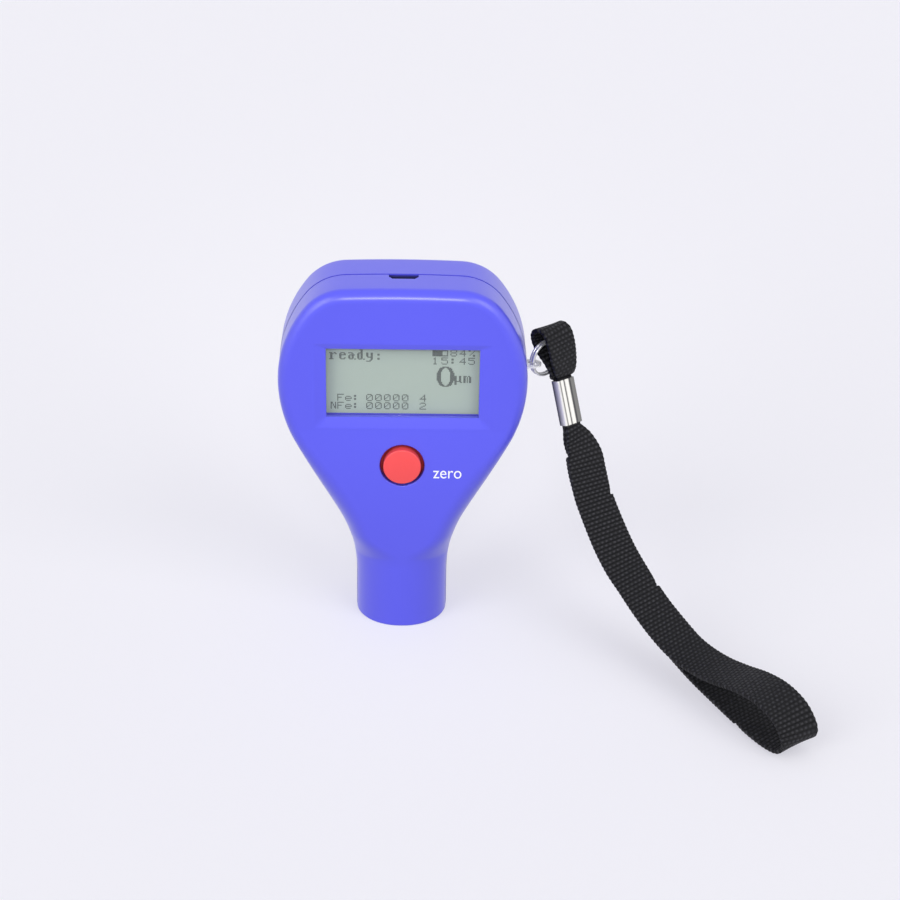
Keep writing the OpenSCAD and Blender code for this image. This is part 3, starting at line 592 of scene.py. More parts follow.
# %% Outline
def outline_stations(step):
    """Right half of the outline as points and outward normals, about step apart, and where the neck ends.

    Arcs about head, corner and top centres touch from inside; the taper touches the side arc and the
    waist arc, whose centre is outside the body.
    """
    head, side = np.array([HALF_W - HEAD_R, WIDEST_Z]), np.array([HALF_W - SIDE_R, WIDEST_Z])
    top = np.array([0, BODY_H - TOP_R])
    reach = np.linalg.norm(top - head)
    way = (top - head) / reach
    along = ((HEAD_R - CORNER_R) ** 2 - (TOP_R - CORNER_R) ** 2 + reach ** 2) / (2 * reach)
    aside = math.sqrt((HEAD_R - CORNER_R) ** 2 - along ** 2)
    corner = head + way * along + np.array([-way[1], way[0]]) * aside
    head_end = math.atan2(*(corner - head)[::-1])
    corner_end = math.atan2(*(corner - top)[::-1])
    n = np.array([math.cos(TAPER), -math.sin(TAPER)])
    high = side + SIDE_R * n
    waist_z = high[1] - (WAIST_R - (NECK_R + WAIST_R - high[0]) * n[0]) / math.sin(TAPER)
    waist = np.array([NECK_R + WAIST_R, waist_z])
    low = waist - WAIST_R * n

    def arc(centre, radius, start, stop, sign=1):
        """Arc from one angle to another with its normals; sign is -1 where the centre is outside the body."""
        a = np.linspace(start, stop, max(3, int(abs(stop - start) * radius / step)), endpoint=False)
        normal = np.stack([np.cos(a), np.sin(a)], 1)
        return centre + sign * radius * normal, normal

    def line(a, b, normal):
        """Straight stretch from a to b with one normal."""
        q = np.linspace(0, 1, max(2, int(np.linalg.norm(b - a) / step)), endpoint=False)[:, None]
        return a + (b - a) * q, np.repeat([normal], len(q), 0)

    parts = [line(np.array([NECK_R, 0]), np.array([NECK_R, waist_z]), [1, 0]),
             arc(waist, WAIST_R, 0, -TAPER, -1), line(low, high, n), arc(side, SIDE_R, -TAPER, 0),
             arc(head, HEAD_R, 0, head_end), arc(corner, CORNER_R, head_end, corner_end),
             arc(top, TOP_R, corner_end, math.pi / 2)]
    points = np.concatenate([p for p, _ in parts] + [[[0, BODY_H]]])
    normals = np.concatenate([m for _, m in parts] + [[[0, 1]]])
    return points, normals, waist_z


POINTS, NORMALS, WAIST_Z = outline_stations(step=0.1)
print("outline stations:", len(POINTS), "waist at", round(WAIST_Z, 2))

# %% [markdown]
# ## The section of the case
# Cut across, the head is flat at the front with rounded edges, and the neck is round. Between them
# the fillet grows until it takes the whole side, and the flat of the front runs out in a round tongue.
# A loft between two drawn sections would leave that transition to chance. Here each station has its
# own fillet, whose size follows the height, so one formula gives head, swell, tongue and neck.

# %% Section sizes
EDGE_R, SIDE_ROUND, BULGE, BROW_DROP = 3.1, 6.4, 0.9, 13.2
TONGUE_UP, TONGUE_LEN, FRONT_OPENING, REAR_OPENING = 7.8, 8, 1.2, 0.5
BLEND_START, BLEND_DROP = 0.6, 37.8
LEAST_FLAT, LEAST_SIDE, LEAST_NORMAL = 0.4, 0.3, 0.2
BROW_Z, TONGUE_Z = WIDEST_Z - BROW_DROP, WAIST_Z + TONGUE_UP
BLEND_TOP, BLEND_LOW = BROW_Z - BLEND_START, WIDEST_Z - BLEND_DROP
print("swell from", round(TONGUE_Z, 1), "to", round(BROW_Z, 1), "mm")


# %% Section of the case
def half_depth(z, swell):
    """Half thickness at a height, with the front's swell: a half sine from the tongue's tip to the brow."""
    base = HALF_T + (NECK_R - HALF_T) * smooth_step((BLEND_LOW - z) / (BLEND_LOW - TONGUE_Z))
    inside = (z > TONGUE_Z) & (z < BROW_Z)
    return base + np.where(inside, swell * np.sin(np.pi * (z - TONGUE_Z) / (BROW_Z - TONGUE_Z)), 0)


def section(points, normals, swell, opening):
    """Fillet depth into the face, its depth along Y, the face's edge and the half thickness, per station.

    The flat of the front narrows below the brow and ends in a round tongue on the neck:
    flat = (x - a n_x) (1 - ((tip + L - z) / L)^2)^opening, so the fillet takes the rest of the width.
    """
    x, z, nx = points[:, 0], points[:, 1], normals[:, 0]
    a = EDGE_R + (SIDE_ROUND - EDGE_R) * smooth_step((BLEND_TOP - z) / (BLEND_TOP - BLEND_LOW))
    tip = np.clip((TONGUE_Z + TONGUE_LEN - z) / TONGUE_LEN, 0, 1)
    share = (1 - tip ** 2) ** opening
    flat = np.maximum(LEAST_FLAT, (x - a * nx) * share)
    a = np.where(share < 1, (x - flat) / np.maximum(nx, LEAST_NORMAL), a)
    edge = points - normals * a[:, None]
    t = half_depth(edge[:, 1], swell)
    b = EDGE_R + (t - LEAST_SIDE - EDGE_R) * smooth_step((BLEND_TOP - z) / (BLEND_TOP - TONGUE_Z))
    return a, b, edge, t


SWELL_Z = np.array((BROW_Z + TONGUE_Z) / 2)
print("half thickness at the swell's crown:", round(float(half_depth(SWELL_Z, BULGE)), 2), "mm")

# %% [markdown]
# ## Grid lines of the front
# The front has a sunk frame round the display and a hole for the button. Boolean cuts would leave
# slivers that shade badly. Instead the grid itself follows the features: rows and columns crowd at
# the frame's edges and round the button, where square rings of the grid are pulled into circles.

# %% Sizes of the openings
WINDOW_W, WINDOW_H, WINDOW_Z = 40.4, 20, WIDEST_Z + 0.3
WINDOW_LOW, WINDOW_HIGH = WINDOW_Z - WINDOW_H / 2, WINDOW_Z + WINDOW_H / 2
FRAME_SIDE, FRAME_TOP, FRAME_BOTTOM, FRAME_DEPTH = 3.1, 1.5, 3, 0.9
BUTTON_Z, BUTTON_D, BUTTON_GAP, BUTTON_OUT = WIDEST_Z - 23.4, 10.1, 0.9, 1.2
HOLE_R, RIM_R, WARP_R, WARP_END = BUTTON_D / 2 + BUTTON_GAP, 0.35, 7.2, 9.0
USB_HALF, USB_DEEP, USB_SLANT_W, USB_SLANT_H = 3.9, 3.2, 0.98, 1.28
WALL, FOOT_R = 2, 0.35
PANE_Y = -(HALF_T - WALL)
print("display opening:", WINDOW_W, "x", WINDOW_H, "mm, button's hole:", round(2 * HOLE_R, 1), "mm")

# %% Grid lines of the front
RINGS = np.concatenate([[0, 1.5, 3, 4.5, 5.4], HOLE_R + np.array([0, 0.06, 0.14, 0.24, 0.36]),
                        [6.6, WARP_R, 8, WARP_END]])
NEAR = np.array([-0.5, -0.3, -0.15, 0, 0.15, 0.3, 0.5])
FOOT_ROWS = [0.05, 0.12, 0.22, FOOT_R]
LINE_STEP, ROW_STEP, APART, FRAME_ROOM = 0.6, 0.5, 0.1, 0.5
FRAME_SPAN, FACE_SPAN = 24.5, 26


def crowd(edges, low, high, step):
    """Sorted grid lines from low to high: about step apart, and crowded at each edge."""
    exact = np.round(edges, 4)
    close = np.add.outer(np.asarray(edges, float), NEAR).ravel()
    lines = np.unique(np.round(np.concatenate([np.arange(low, high, step), [high], close]), 4))
    clear = np.min(np.abs(lines[:, None] - exact), 1) > APART
    return lines[(lines >= low) & (lines <= high) & (np.isin(lines, exact) | clear)]


def face_columns():
    """Places across the right half of the front, up to FACE_SPAN, where the fillet starts on the head."""
    sides = crowd([WINDOW_W / 2, WINDOW_W / 2 + FRAME_SIDE], WARP_END + LINE_STEP, FRAME_SPAN, LINE_STEP)
    return np.concatenate([RINGS, sides, np.linspace(FRAME_SPAN + 0.4, FACE_SPAN, 4)])


def face_rows():
    """Outline positions whose face edge has the wanted height, and the plain ones elsewhere."""
    _, _, edge, _ = section(POINTS, NORMALS, BULGE, FRONT_OPENING)
    run = np.concatenate([[0], np.cumsum(np.linalg.norm(np.diff(POINTS, axis=0), axis=1))])
    low, high = WINDOW_LOW - FRAME_BOTTOM - FRAME_ROOM, WINDOW_HIGH + FRAME_TOP + FRAME_ROOM
    ring = BUTTON_Z + np.concatenate([-RINGS[::-1], RINGS[1:]])
    frame_edges = [WINDOW_LOW - FRAME_BOTTOM, WINDOW_LOW, WINDOW_HIGH, WINDOW_HIGH + FRAME_TOP]
    heights = np.concatenate([ring, crowd(frame_edges, low, high, LINE_STEP)])
    wanted = np.interp(heights, edge[:, 1], run)
    notch = np.interp([-USB_HALF, -USB_HALF + USB_SLANT_W], -POINTS[:, 0], run)
    plain = np.concatenate([np.arange(0, run[-1], ROW_STEP), FOOT_ROWS, [run[-1]], notch])
    height = np.interp(plain, run, edge[:, 1])
    at_button = (height > ring[0] - APART) & (height < ring[-1] + APART)
    at_frame = (height > low - APART) & (height < high + APART)
    return np.unique(np.concatenate([wanted, plain[~(at_button | at_frame)]])), run


ROWS, RUN = face_rows()
print("front rows:", len(ROWS), "columns:", 2 * len(face_columns()))

# %% [markdown]
# ## Relief of the front
# The display sits at the bottom of a shallow sloped frame, deeper at its foot than at its top, and the
# button's hole has a rounded rim. A displacement texture could do this too, but it needs a very fine
# mesh everywhere. Since the grid lines lie where the features are, a depth for each point is enough.

# %% Front relief
FRAME_TOP_SHARE, FRAME_SOFT, FRAME_FADE = 0.5, 0.05, 1.6


def frame_depth(z):
    """Depth of the frame at the opening, from half at its top to the whole at its foot."""
    share = 1 - (1 - FRAME_TOP_SHARE) * (z - WINDOW_LOW) / WINDOW_H
    return FRAME_DEPTH * np.clip(share, FRAME_TOP_SHARE, 1)


def front_relief(x, z):
    """How far the front's features sink below the smooth front, in mm.

    The frame slopes from its outer edge down to the opening: depth (1 - r) with r the largest of the
    four slopes' shares, softened at the edge. The rim of the button's hole is a quarter circle.
    """
    r = np.maximum.reduce([(np.abs(x) - WINDOW_W / 2) / FRAME_SIDE, (WINDOW_LOW - z) / FRAME_BOTTOM,
                           (z - WINDOW_HIGH) / FRAME_TOP, np.zeros_like(x)])
    open_share = 0.5 * ((1 - r) + np.sqrt((1 - r) ** 2 + FRAME_SOFT ** 2))
    sunk = frame_depth(z) * np.where(r < FRAME_FADE, np.minimum(open_share, 1), 0)
    gap = np.clip(HOLE_R + RIM_R - np.hypot(x, z - BUTTON_Z), 0, RIM_R)
    return sunk + RIM_R - np.sqrt(RIM_R ** 2 - gap ** 2)


def round_rings(x, z):
    """Pull the grid's square rings round the button into circles, fading out at WARP_END."""
    dz = z - BUTTON_Z
    square, circle = np.maximum(np.abs(x), np.abs(dz)), np.hypot(x, dz)
    pull = smooth_step((WARP_END - square) / (WARP_END - WARP_R))
    pull = np.where(square < WARP_R, 1, pull)
    factor = 1 + pull * (square / np.maximum(circle, 1e-9) - 1)
    factor = np.where(square < WARP_END, factor, 1)
    return x * factor, BUTTON_Z + dz * factor


def socket_depth(x):
    """Depth of the socket's notch from the parting plane, less at its slanted ends."""
    return USB_DEEP - USB_SLANT_H * np.clip((np.abs(x) - USB_HALF + USB_SLANT_W) / USB_SLANT_W, 0, 1)


print("frame depth at its foot and top:", frame_depth(np.array([WINDOW_LOW, WINDOW_HIGH])), "mm")

# %% [markdown]
# ## Rows of the front
# Each row of the grid starts at the seam between the two halves of the case, goes up the side, round
# the fillet and across the front, and down again on the left. The seam is a fine groove on the real
# case. A dark line would look drawn, so the first points of each row are set in a little, and the
# groove catches shadow by itself.

# %% Front rows
SEAM_ROWS, SEAM_WIDE, SEAM_DEEP = [0.06, 0.16, 0.3, 0.45, 0.8], 0.45, 0.4
SIDE_SHARES, SQUEEZE, FILLET_STEPS = np.linspace(0.45, 1, 4), 0.02, 14
FULL_FACE, FIXED_SHARE = 12, 0.8


def stations_at(rows, run):
    """Outline points and outward normals at the given lengths along the outline."""
    points, normals = (np.stack([np.interp(rows, run, values[:, k]) for k in range(2)], 1)
                       for values in (POINTS, NORMALS))
    return points, normals / np.linalg.norm(normals, axis=1)[:, None]


def edge_rows(points, normals, wall, chamfer, a, b, t):
    """Every row's side and fillet.

    Up the wall first, then with q from 0 to 90 degrees the inset a (1 - cos q) and the depth t - b + b sin q.
    """
    q = np.radians(np.linspace(0, 90, FILLET_STEPS + 1))[1:]
    inset = np.concatenate([chamfer, a[:, None] * (1 - np.cos(q))], 1)
    depth = np.concatenate([wall, (t - b)[:, None] + b[:, None] * np.sin(q)], 1)
    x, z = points[:, :1] - normals[:, :1] * inset, points[:, 1:] - normals[:, 1:] * inset
    return np.stack([x, -depth, z], -1)


def front_rows(rows, run, swell):
    """Points of every row from the parting plane on the right, over the front, to the left."""
    points, normals = stations_at(rows, run)
    a, b, edge, t = section(points, normals, swell, FRONT_OPENING)
    room = np.maximum(t - b, LEAST_SIDE)[:, None]
    notch = np.minimum(socket_depth(points[:, 0]), t - b)[:, None]
    wall = np.concatenate([np.tile(SEAM_ROWS, (len(rows), 1)), notch, SIDE_SHARES * room], 1)
    wall = np.minimum(np.sort(wall, 1), room * (1 - SQUEEZE * np.arange(wall.shape[1])[::-1]))
    side = edge_rows(points, normals, wall, np.clip(SEAM_WIDE - wall, 0, SEAM_DEEP), a, b, t)
    columns, f, z = face_columns(), edge[:, :1], edge[:, 1:]
    fixed = np.minimum(np.where(z > BLEND_TOP, FRAME_SPAN, WARP_END), FIXED_SHARE * f)
    outer = fixed + (columns - fixed) / (FACE_SPAN - fixed) * (f - fixed)
    spread = np.where(columns <= fixed, columns, outer)
    x = np.where(f > FULL_FACE, spread, columns / FACE_SPAN * f)[:, -2::-1]
    right = np.concatenate([side, np.stack([x, -t[:, None] + 0 * x, z + 0 * x], -1)], 1)
    return np.concatenate([right, right[:, -2::-1] * [-1, 1, 1]], 1), side.shape[1]


# %% Front skin
def build_front():
    """The front shell's outer skin with its openings; the neck's foot is rounded by FOOT_R."""
    grid, rim = front_rows(ROWS, RUN, BULGE)
    count, width = grid.shape[:2]
    flat = slice(rim, width - rim)
    x, z = round_rings(grid[:, flat, 0], grid[:, flat, 2])
    grid[:, flat, 0], grid[:, flat, 2] = x, z
    grid[:, flat, 1] = -half_depth(z, BULGE) + front_relief(x, z)
    foot = np.clip(FOOT_R - grid[..., 2], 0, FOOT_R)
    grid[..., :2] *= (1 - (FOOT_R - np.sqrt(FOOT_R ** 2 - foot ** 2)) / NECK_R)[..., None]
    points, faces = grid.reshape(-1, 3), grid_faces(count, width)
    x, y, z = points[faces].mean(1).T
    in_window = (np.abs(x) < WINDOW_W / 2) & (z > WINDOW_LOW) & (z < WINDOW_HIGH)
    in_hole = np.hypot(x, z - BUTTON_Z) < HOLE_R - 0.01
    in_socket = (np.abs(x) < USB_HALF) & (y > -socket_depth(x)) & (z > BODY_H - WALL / 2)
    return points, faces[~((in_window | in_hole) & (y < -HALF_T + WALL) | in_socket)]


FRONT_SKIN = build_front()
print("front skin:", len(FRONT_SKIN[0]), "points,", len(FRONT_SKIN[1]), "faces")

# %% [markdown]
# ## Walls of the openings
# A moulded shell has a thickness, and it shows where the shell is cut: at the display, the button, the
# socket's notch and the rim of the neck. Giving the whole skin a thickness would double its faces for
# four short edges. So each opening gets its own strip of wall, which goes as deep as the eye can see.

# %% Walls of the openings
HOLE_DEEP, RIM_W, RIM_UP = 1.7, 3.8, 2.2


def add_walls(points, faces):
    """Append the walls of the display opening, the button's hole, the socket's notch and the neck's rim."""
    points, faces = [points], [faces]

    def strip(outer, inner, closed):
        """Wall between two edges with as many points each."""
        first = sum(len(p) for p in points)
        points.append(np.concatenate([outer, inner]))
        faces.append(grid_faces(2, len(outer), wrap_cols=closed, first=first))

    def half_circle(r, z):
        """Front half of a circle about the neck's axis."""
        return np.stack([r * np.cos(half), r * np.sin(half), np.full(len(half), z)], 1)

    box = np.array(upright(WINDOW_W / 2, PANE_Y, WINDOW_LOW, WINDOW_HIGH))
    brink = np.stack([box[:, 0], -HALF_T + frame_depth(box[:, 2]), box[:, 2]], 1)
    strip(brink, box, True)
    turn = np.radians(np.arange(0, 360, 3))
    ring_z = BUTTON_Z + HOLE_R * np.sin(turn)
    ring = np.stack([HOLE_R * np.cos(turn), -half_depth(ring_z, BULGE) + RIM_R, ring_z], 1)
    strip(ring, ring + [0, HOLE_DEEP, 0], True)
    slot_x = np.array([-USB_HALF, -USB_HALF, USB_SLANT_W - USB_HALF])
    slot_y = np.array([0, USB_SLANT_H - USB_DEEP, -USB_DEEP])
    notch = np.stack([np.concatenate([slot_x, -slot_x[::-1]]), np.concatenate([slot_y, slot_y[::-1]]),
                      np.full(6, BODY_H)], 1)
    strip(notch, notch - [0, 0, WALL], False)
    half = np.radians(np.linspace(180, 360, 61))
    strip(half_circle(NECK_R - FOOT_R, 0), half_circle(NECK_R - RIM_W, 0), False)
    strip(half_circle(NECK_R - RIM_W, 0), half_circle(NECK_R - RIM_W, RIM_UP), False)
    return np.concatenate(points), np.concatenate(faces)


# %% [markdown]
# ## Rear skin and painted shade in the socket's notch
# The solid of the rear half comes as loose triangles, so its curves can't be shaded smooth, and its
# flats show in the highlights. Merging them would change a CAD mesh, which has to stay as it is. A
# skin a twentieth of a millimetre outside its sides, fillets and neck hides the flats instead. The
# notch above the data socket gets a dark sheet on its far wall, as painted shade in the recess.


# %% Rear skin, painted shade in the notch and front
def add_rear_skin(lift):
    """Thin smooth skin just outside the rear half's sides, fillets and neck; the flat back stays the solid's.

    The skin stands lift outside the outline, and a third of that behind the flat back at its edge.
    """
    points, normals = stations_at(ROWS, RUN)
    a, b, _, t = section(points, normals, 0, REAR_OPENING)
    wall = np.linspace(0, 1, 6) * np.maximum(t - b, LEAST_SIDE)[:, None]
    right = edge_rows(points + normals * lift, normals, wall, 0 * wall, a, b, t + lift / 3) * [1, -1, 1]
    count, width = right.shape[:2]
    left = right[-2::-1] * [-1, 1, 1]
    faces = grid_faces(2 * count - 1, width)[:, ::-1]
    return mesh_piece("rear_skin", np.concatenate([right, left]), faces, MATERIALS["case_blue"],
                      slot="case_blue")


def add_socket_shade_sheet(over, proud, top, drop):
    """Dark sheet of painted shade on the far wall of the socket's notch, from drop to top below the top of the
    body.
    """
    points = upright(USB_HALF + over, -proud, BODY_H - drop, BODY_H - top)
    # Painted shade: a near-black blue sheet where the notch's recess lies in shadow.
    return mesh_piece("socket_shade_sheet", points, [(0, 1, 2, 3)], moulded("notch_painted_shade", (0.02, 0.02, 0.2), 0.5),
                      smooth=False, slot="case_blue")


rear = add_rear_skin(lift=0.05)
notch_shade = add_socket_shade_sheet(over=0.15, proud=0.03, top=0.35, drop=2.2)
front = mesh_piece("front_case", *add_walls(*FRONT_SKIN), MATERIALS["case_blue"], node="front_shell",
                   slot="case_blue")
print("rear skin:", len(rear.data.polygons), "faces,", notch_shade.name, len(notch_shade.data.polygons))
print("front case:", len(front.data.vertices), "points,", len(front.data.polygons), "faces")

# %% [markdown]
# ## Display
# The display is a matrix of small dark dots on a grey-green ground: a greeting, a battery mark, small
# numbers, the reading and two counters. A font would have smooth outlines, which such a display can't
# show. So letters are patterns of dots, as in the real controller, and the large zero is the space
# between two ellipses, rounded to dots.

# %% Dot patterns
SMALL = {
    "F": "######. #...... #...... ####... #...... #...... #......",
    "N": ".##..#. .##..#. .#.#.#. .#.#.#. .#..##. .#..##. .#...#.",
    "e": "....... ....... .####.. #....#. ######. #...... .####..",
    ":": "....... .##.... .##.... ....... .##.... .##.... .......",
    "0": ".####.. #...##. #..#.#. #.#..#. ##...#. #....#. .####..",
    "1": "..#.... .##.... ..#.... ..#.... ..#.... ..#.... .###...",
    "2": ".####.. #....#. .....#. ...##.. .##.... #...... ######.",
    "4": "....#.. ...##.. ..#.#.. .#..#.. ######. ....#.. ....#..",
    "5": "######. #...... #####.. .....#. .....#. #....#. .####..",
    "8": ".####.. #....#. #....#. .####.. #....#. #....#. .####..",
    "%": "##..... ##...#. ....#.. ...#... ..#.... .#..##. ....##.",
}
UNIT = {
    "u": ". ##..##. ##..##. ##..##. ##..##. ##..##. ######. ##...## ##..... ##.....",
    "m": ". ###.##. ##.#.## ##.#.## ##.#.## ##.#.## ##.#.## ##.#.##",
}
TALL = {
    "r": ". . . ###.##.. .###.##. .##..... .##..... .##..... .##..... ####....",
    "e": ". . . ..####.. .##..##. .######. .##..... .##..... .##..##. ..####..",
    "a": ". . . .####... ....##.. ..#####. .##.##.. .##.##.. .##.##.. ..###.##",
    "d": "...###.. ....##.. ....##.. ..####.. .##.##.. .##.##.. .##.##.. .##.##.. .##.##.. ..###.##",
    "y": ". . . .##..##. .##..##. .##..##. .##..##. ..#####. .....##. .....##. ....##.. .####...",
    ":": ". . . . ...##... ...##... . . ...##... ...##...",
}
DOT_ROWS, DOT_COLS = 64, 132
print("letters:", len(SMALL) + len(UNIT) + len(TALL))


# %% Readout in dots
def write_dots(dots, text, left, top, font, pitch=8):
    """Set the dots of a text whose first letter's corner is at column left and row top."""
    for k, letter in enumerate(text):
        for row, line in enumerate(font.get(letter, "").split()):
            marks = np.flatnonzero(np.array(list(line)) == "#")
            dots[top + row, left + k * pitch + marks] = True


def display_dots():
    """The readout: a greeting, a battery mark, two small numbers, the reading and two counters.

    The large zero is where (u/8)^2 + (v/10.4)^2 < 1 and (u/4.2)^2 + (v/9)^2 > 1, from its centre.
    """
    dots = np.zeros((DOT_ROWS, DOT_COLS), bool)
    write_dots(dots, "ready:", 0, 1, TALL)
    dots[1:7, 92:101] = True
    dots[[1, 6], 101:105] = dots[1:7, 105] = True
    write_dots(dots, "84%", 108, 0, SMALL)
    write_dots(dots, "15:45", 92, 8, SMALL)
    row, col = np.mgrid[0:DOT_ROWS, 0:DOT_COLS]
    u, v = col - 103.5, row - 26.5
    dots |= ((u / 8) ** 2 + (v / 10.4) ** 2 < 1) & ((u / 4.2) ** 2 + (v / 9) ** 2 > 1)
    write_dots(dots, "um", 112, 25, UNIT)
    write_dots(dots, "Fe:", 7, 45, SMALL, 7)
    write_dots(dots, "00000 4", 33, 45, SMALL)
    write_dots(dots, "NFe:", 0, 53, SMALL, 7)
    write_dots(dots, "00000 2", 33, 53, SMALL)
    return dots


# %% Display pieces
DOT, DOT_FILL, DOTS_LEFT, DOTS_TOP = 0.295, 0.94, -19.4, 83.0
PANE_T, SEAT_GAP = 1.2, 0.05
LCD_Y = PANE_Y + PANE_T + SEAT_GAP
INK_PROUD, EDGE_SHADE_PROUD = 0.02, 0.03


def add_readout():
    """One small square per dark dot, just in front of the display's glass."""
    rows, cols = np.nonzero(display_dots())
    x, z = DOTS_LEFT + cols * DOT, DOTS_TOP - rows * DOT
    size = DOT * DOT_FILL
    corner = np.array([[0, 0], [size, 0], [size, -size], [0, -size]])
    y = np.full((len(x), 4), LCD_Y - INK_PROUD)
    points = np.stack([x[:, None] + corner[:, 0], y, z[:, None] + corner[:, 1]], -1)
    faces = np.arange(4 * len(x)).reshape(-1, 4)
    return mesh_piece("readout", points, faces, INK, smooth=False, slot="lcd_grey")


def add_edge_shade(drop, rise, over):
    """Painted shade: a dark blue strip behind the pane along the opening's lower edge, where the frame's lower
    wall shadows the display.
    """
    points = upright(WINDOW_W / 2 + over, LCD_Y - EDGE_SHADE_PROUD, WINDOW_LOW - drop, WINDOW_LOW + rise)
    return mesh_piece("display_edge_shade", points, [(0, 1, 2, 3)], DISPLAY_EDGE_SHADE, smooth=False, slot="lcd_grey")


dots, edge_shade = add_readout(), add_edge_shade(drop=2, rise=0.05, over=1.5)
print("readout dots:", len(dots.data.polygons), "and", edge_shade.name)

# %% [markdown]
# ## Button
# The red button is a moulded cap with a slightly domed crown, a rounded edge and a flange that keeps
# it in the case. A cylinder with a bevel has a flat crown, which mirrors the light as one hard patch.
# A profile turned about the button's axis gives the dome and the edge in one surface.

# %% Button
CAP_ROUND, CAP_FALL, CAP_STEPS, FLANGE_OVER, FLANGE_GAP, FLANGE_T = 0.35, 0.3, 9, 1.3, 0.3, 1


def turned(profile, steps):
    """Surface of a profile [(radius, depth), ...] turned about the button's axis, open at the centre."""
    turn = np.radians(np.arange(0, 360, 360 / steps))
    points = np.stack([profile[:, :1] * np.cos(turn), np.repeat(profile[:, 1:], steps, 1),
                       BUTTON_Z + profile[:, :1] * np.sin(turn)], -1)
    return points, grid_faces(len(profile), steps, wrap_cols=True)


def button_profile():
    """Crown that falls off as the square of the radius, rounded edge, side and flange of the button."""
    face = -float(half_depth(np.array(BUTTON_Z), BULGE)) - BUTTON_OUT
    back = WALL + FLANGE_GAP - float(half_depth(np.array(BUTTON_Z + HOLE_R + FLANGE_OVER), BULGE))
    r, crown_r, flange_r = BUTTON_D / 2, BUTTON_D / 2 - CAP_ROUND, HOLE_R + FLANGE_OVER
    k = np.arange(1, CAP_STEPS) / CAP_STEPS
    crown = np.stack([k * crown_r, face + CAP_FALL * k ** 2], 1)
    bend = np.radians(np.linspace(0, 90, 9))
    edge = np.stack([crown_r + CAP_ROUND * np.sin(bend), face + CAP_FALL + CAP_ROUND * (1 - np.cos(bend))], 1)
    stem = [(r, back - FLANGE_GAP), (r, back), (flange_r, back), (flange_r, back + FLANGE_T)]
    return np.concatenate([[(0.01, face)], crown, edge, stem])


button = mesh_piece("button_cap", *turned(button_profile(), steps=96), MATERIALS["button_red"], "button",
                    node="zero_button", slot="button_red")
print("button cap:", len(button.data.polygons), "faces")

# %% [markdown]
# ## Label
# One plain word is printed beside the button. An image would need a texture, so a text object is used,
# made a mesh and fitted to its place. The front swells there, and flat letters would sink in or
# float, so each point is laid on the front by the same formula that made it.


# %% Label
def add_label(word, left, low, wide, tall, proud):
    """A printed word on the front, each letter's point laid on the smooth front."""
    data = bpy.data.curves.new("label", "FONT")
    data.body = word
    data.resolution_u = 6
    text = new_object("label_text", data)
    bpy.context.view_layer.update()
    flat = text.evaluated_get(bpy.context.evaluated_depsgraph_get()).to_mesh()
    points = np.empty(3 * len(flat.vertices))
    flat.vertices.foreach_get("co", points)
    points = points.reshape(-1, 3)
    faces = [tuple(p.vertices) for p in flat.polygons]
    bpy.data.objects.remove(text)
    x = left + (points[:, 0] - points[:, 0].min()) * wide / np.ptp(points[:, 0])
    z = low + (points[:, 1] - points[:, 1].min()) * tall / np.ptp(points[:, 1])
    y = -half_depth(z, BULGE) - proud
    return mesh_piece("label", np.stack([x, y, z], 1), faces, WHITE, smooth=False, slot="light_white")


label = add_label("zero", left=8.3, low=46.8, wide=7.6, tall=2.3, proud=0.03)
print("label:", len(label.data.polygons), "faces")

# %% [markdown]
# ## The strap's routes
# The strap hangs on a split ring in the lug's hole. Its frame is turned about that hole: "away" runs
# from the ring's plane to the front right, "along" lies in the ring's plane. A short loop goes through
# the ring, and a sleeve holds it to the long doubled band that comes down to the floor. A cloth
# simulation would fall in its own way, not as the real strap lies. So each band follows a curve
# through points (away, along, up, and a width where it is gathered), the same as in the solids.

# %% Strap sizes and routes
LUG_UP, LUG_OUT, LUG_END, STRAP_TURN = 1, 4, 2.4, math.radians(38)
LUG_Z, HOLE_X = WIDEST_Z + LUG_UP, HALF_W + LUG_OUT - LUG_END
BAND_W, BAND_T, LOOP_W, GATHER_W = 10.8, 1.2, 9, 5
SLEEVE_TOP, SLEEVE_TILT, SLEEVE_LEN = (3.1, 8.2, LUG_Z - 5.6), math.radians(20), 12.4
LAYER, LEG_IN, LEG_OUT = BAND_T / 2 + SEAT_GAP, 5, 1
LOOP_ROUTE = [(2.6, 7.6, -3.6, 6.4), (2.7, 6.6, -1.9, 6.6), (1.3, 5.65, 0.1, 5.6), (-1.4, 5.1, 2.6, 5.5),
              (-2.6, 5.3, 5.4, 7.2), (-1.9, 5.5, 8, 8.8), (0.1, 6, 9.1, 9.2), (2.2, 6.5, 8.1, 9.4),
              (3.4, 6.9, 5.2, 9.2), (4, 7.4, 1.6, 8.7), (4.2, 7.9, -1.4, 7.8), (4, 8.2, -3.4, 6.6)]
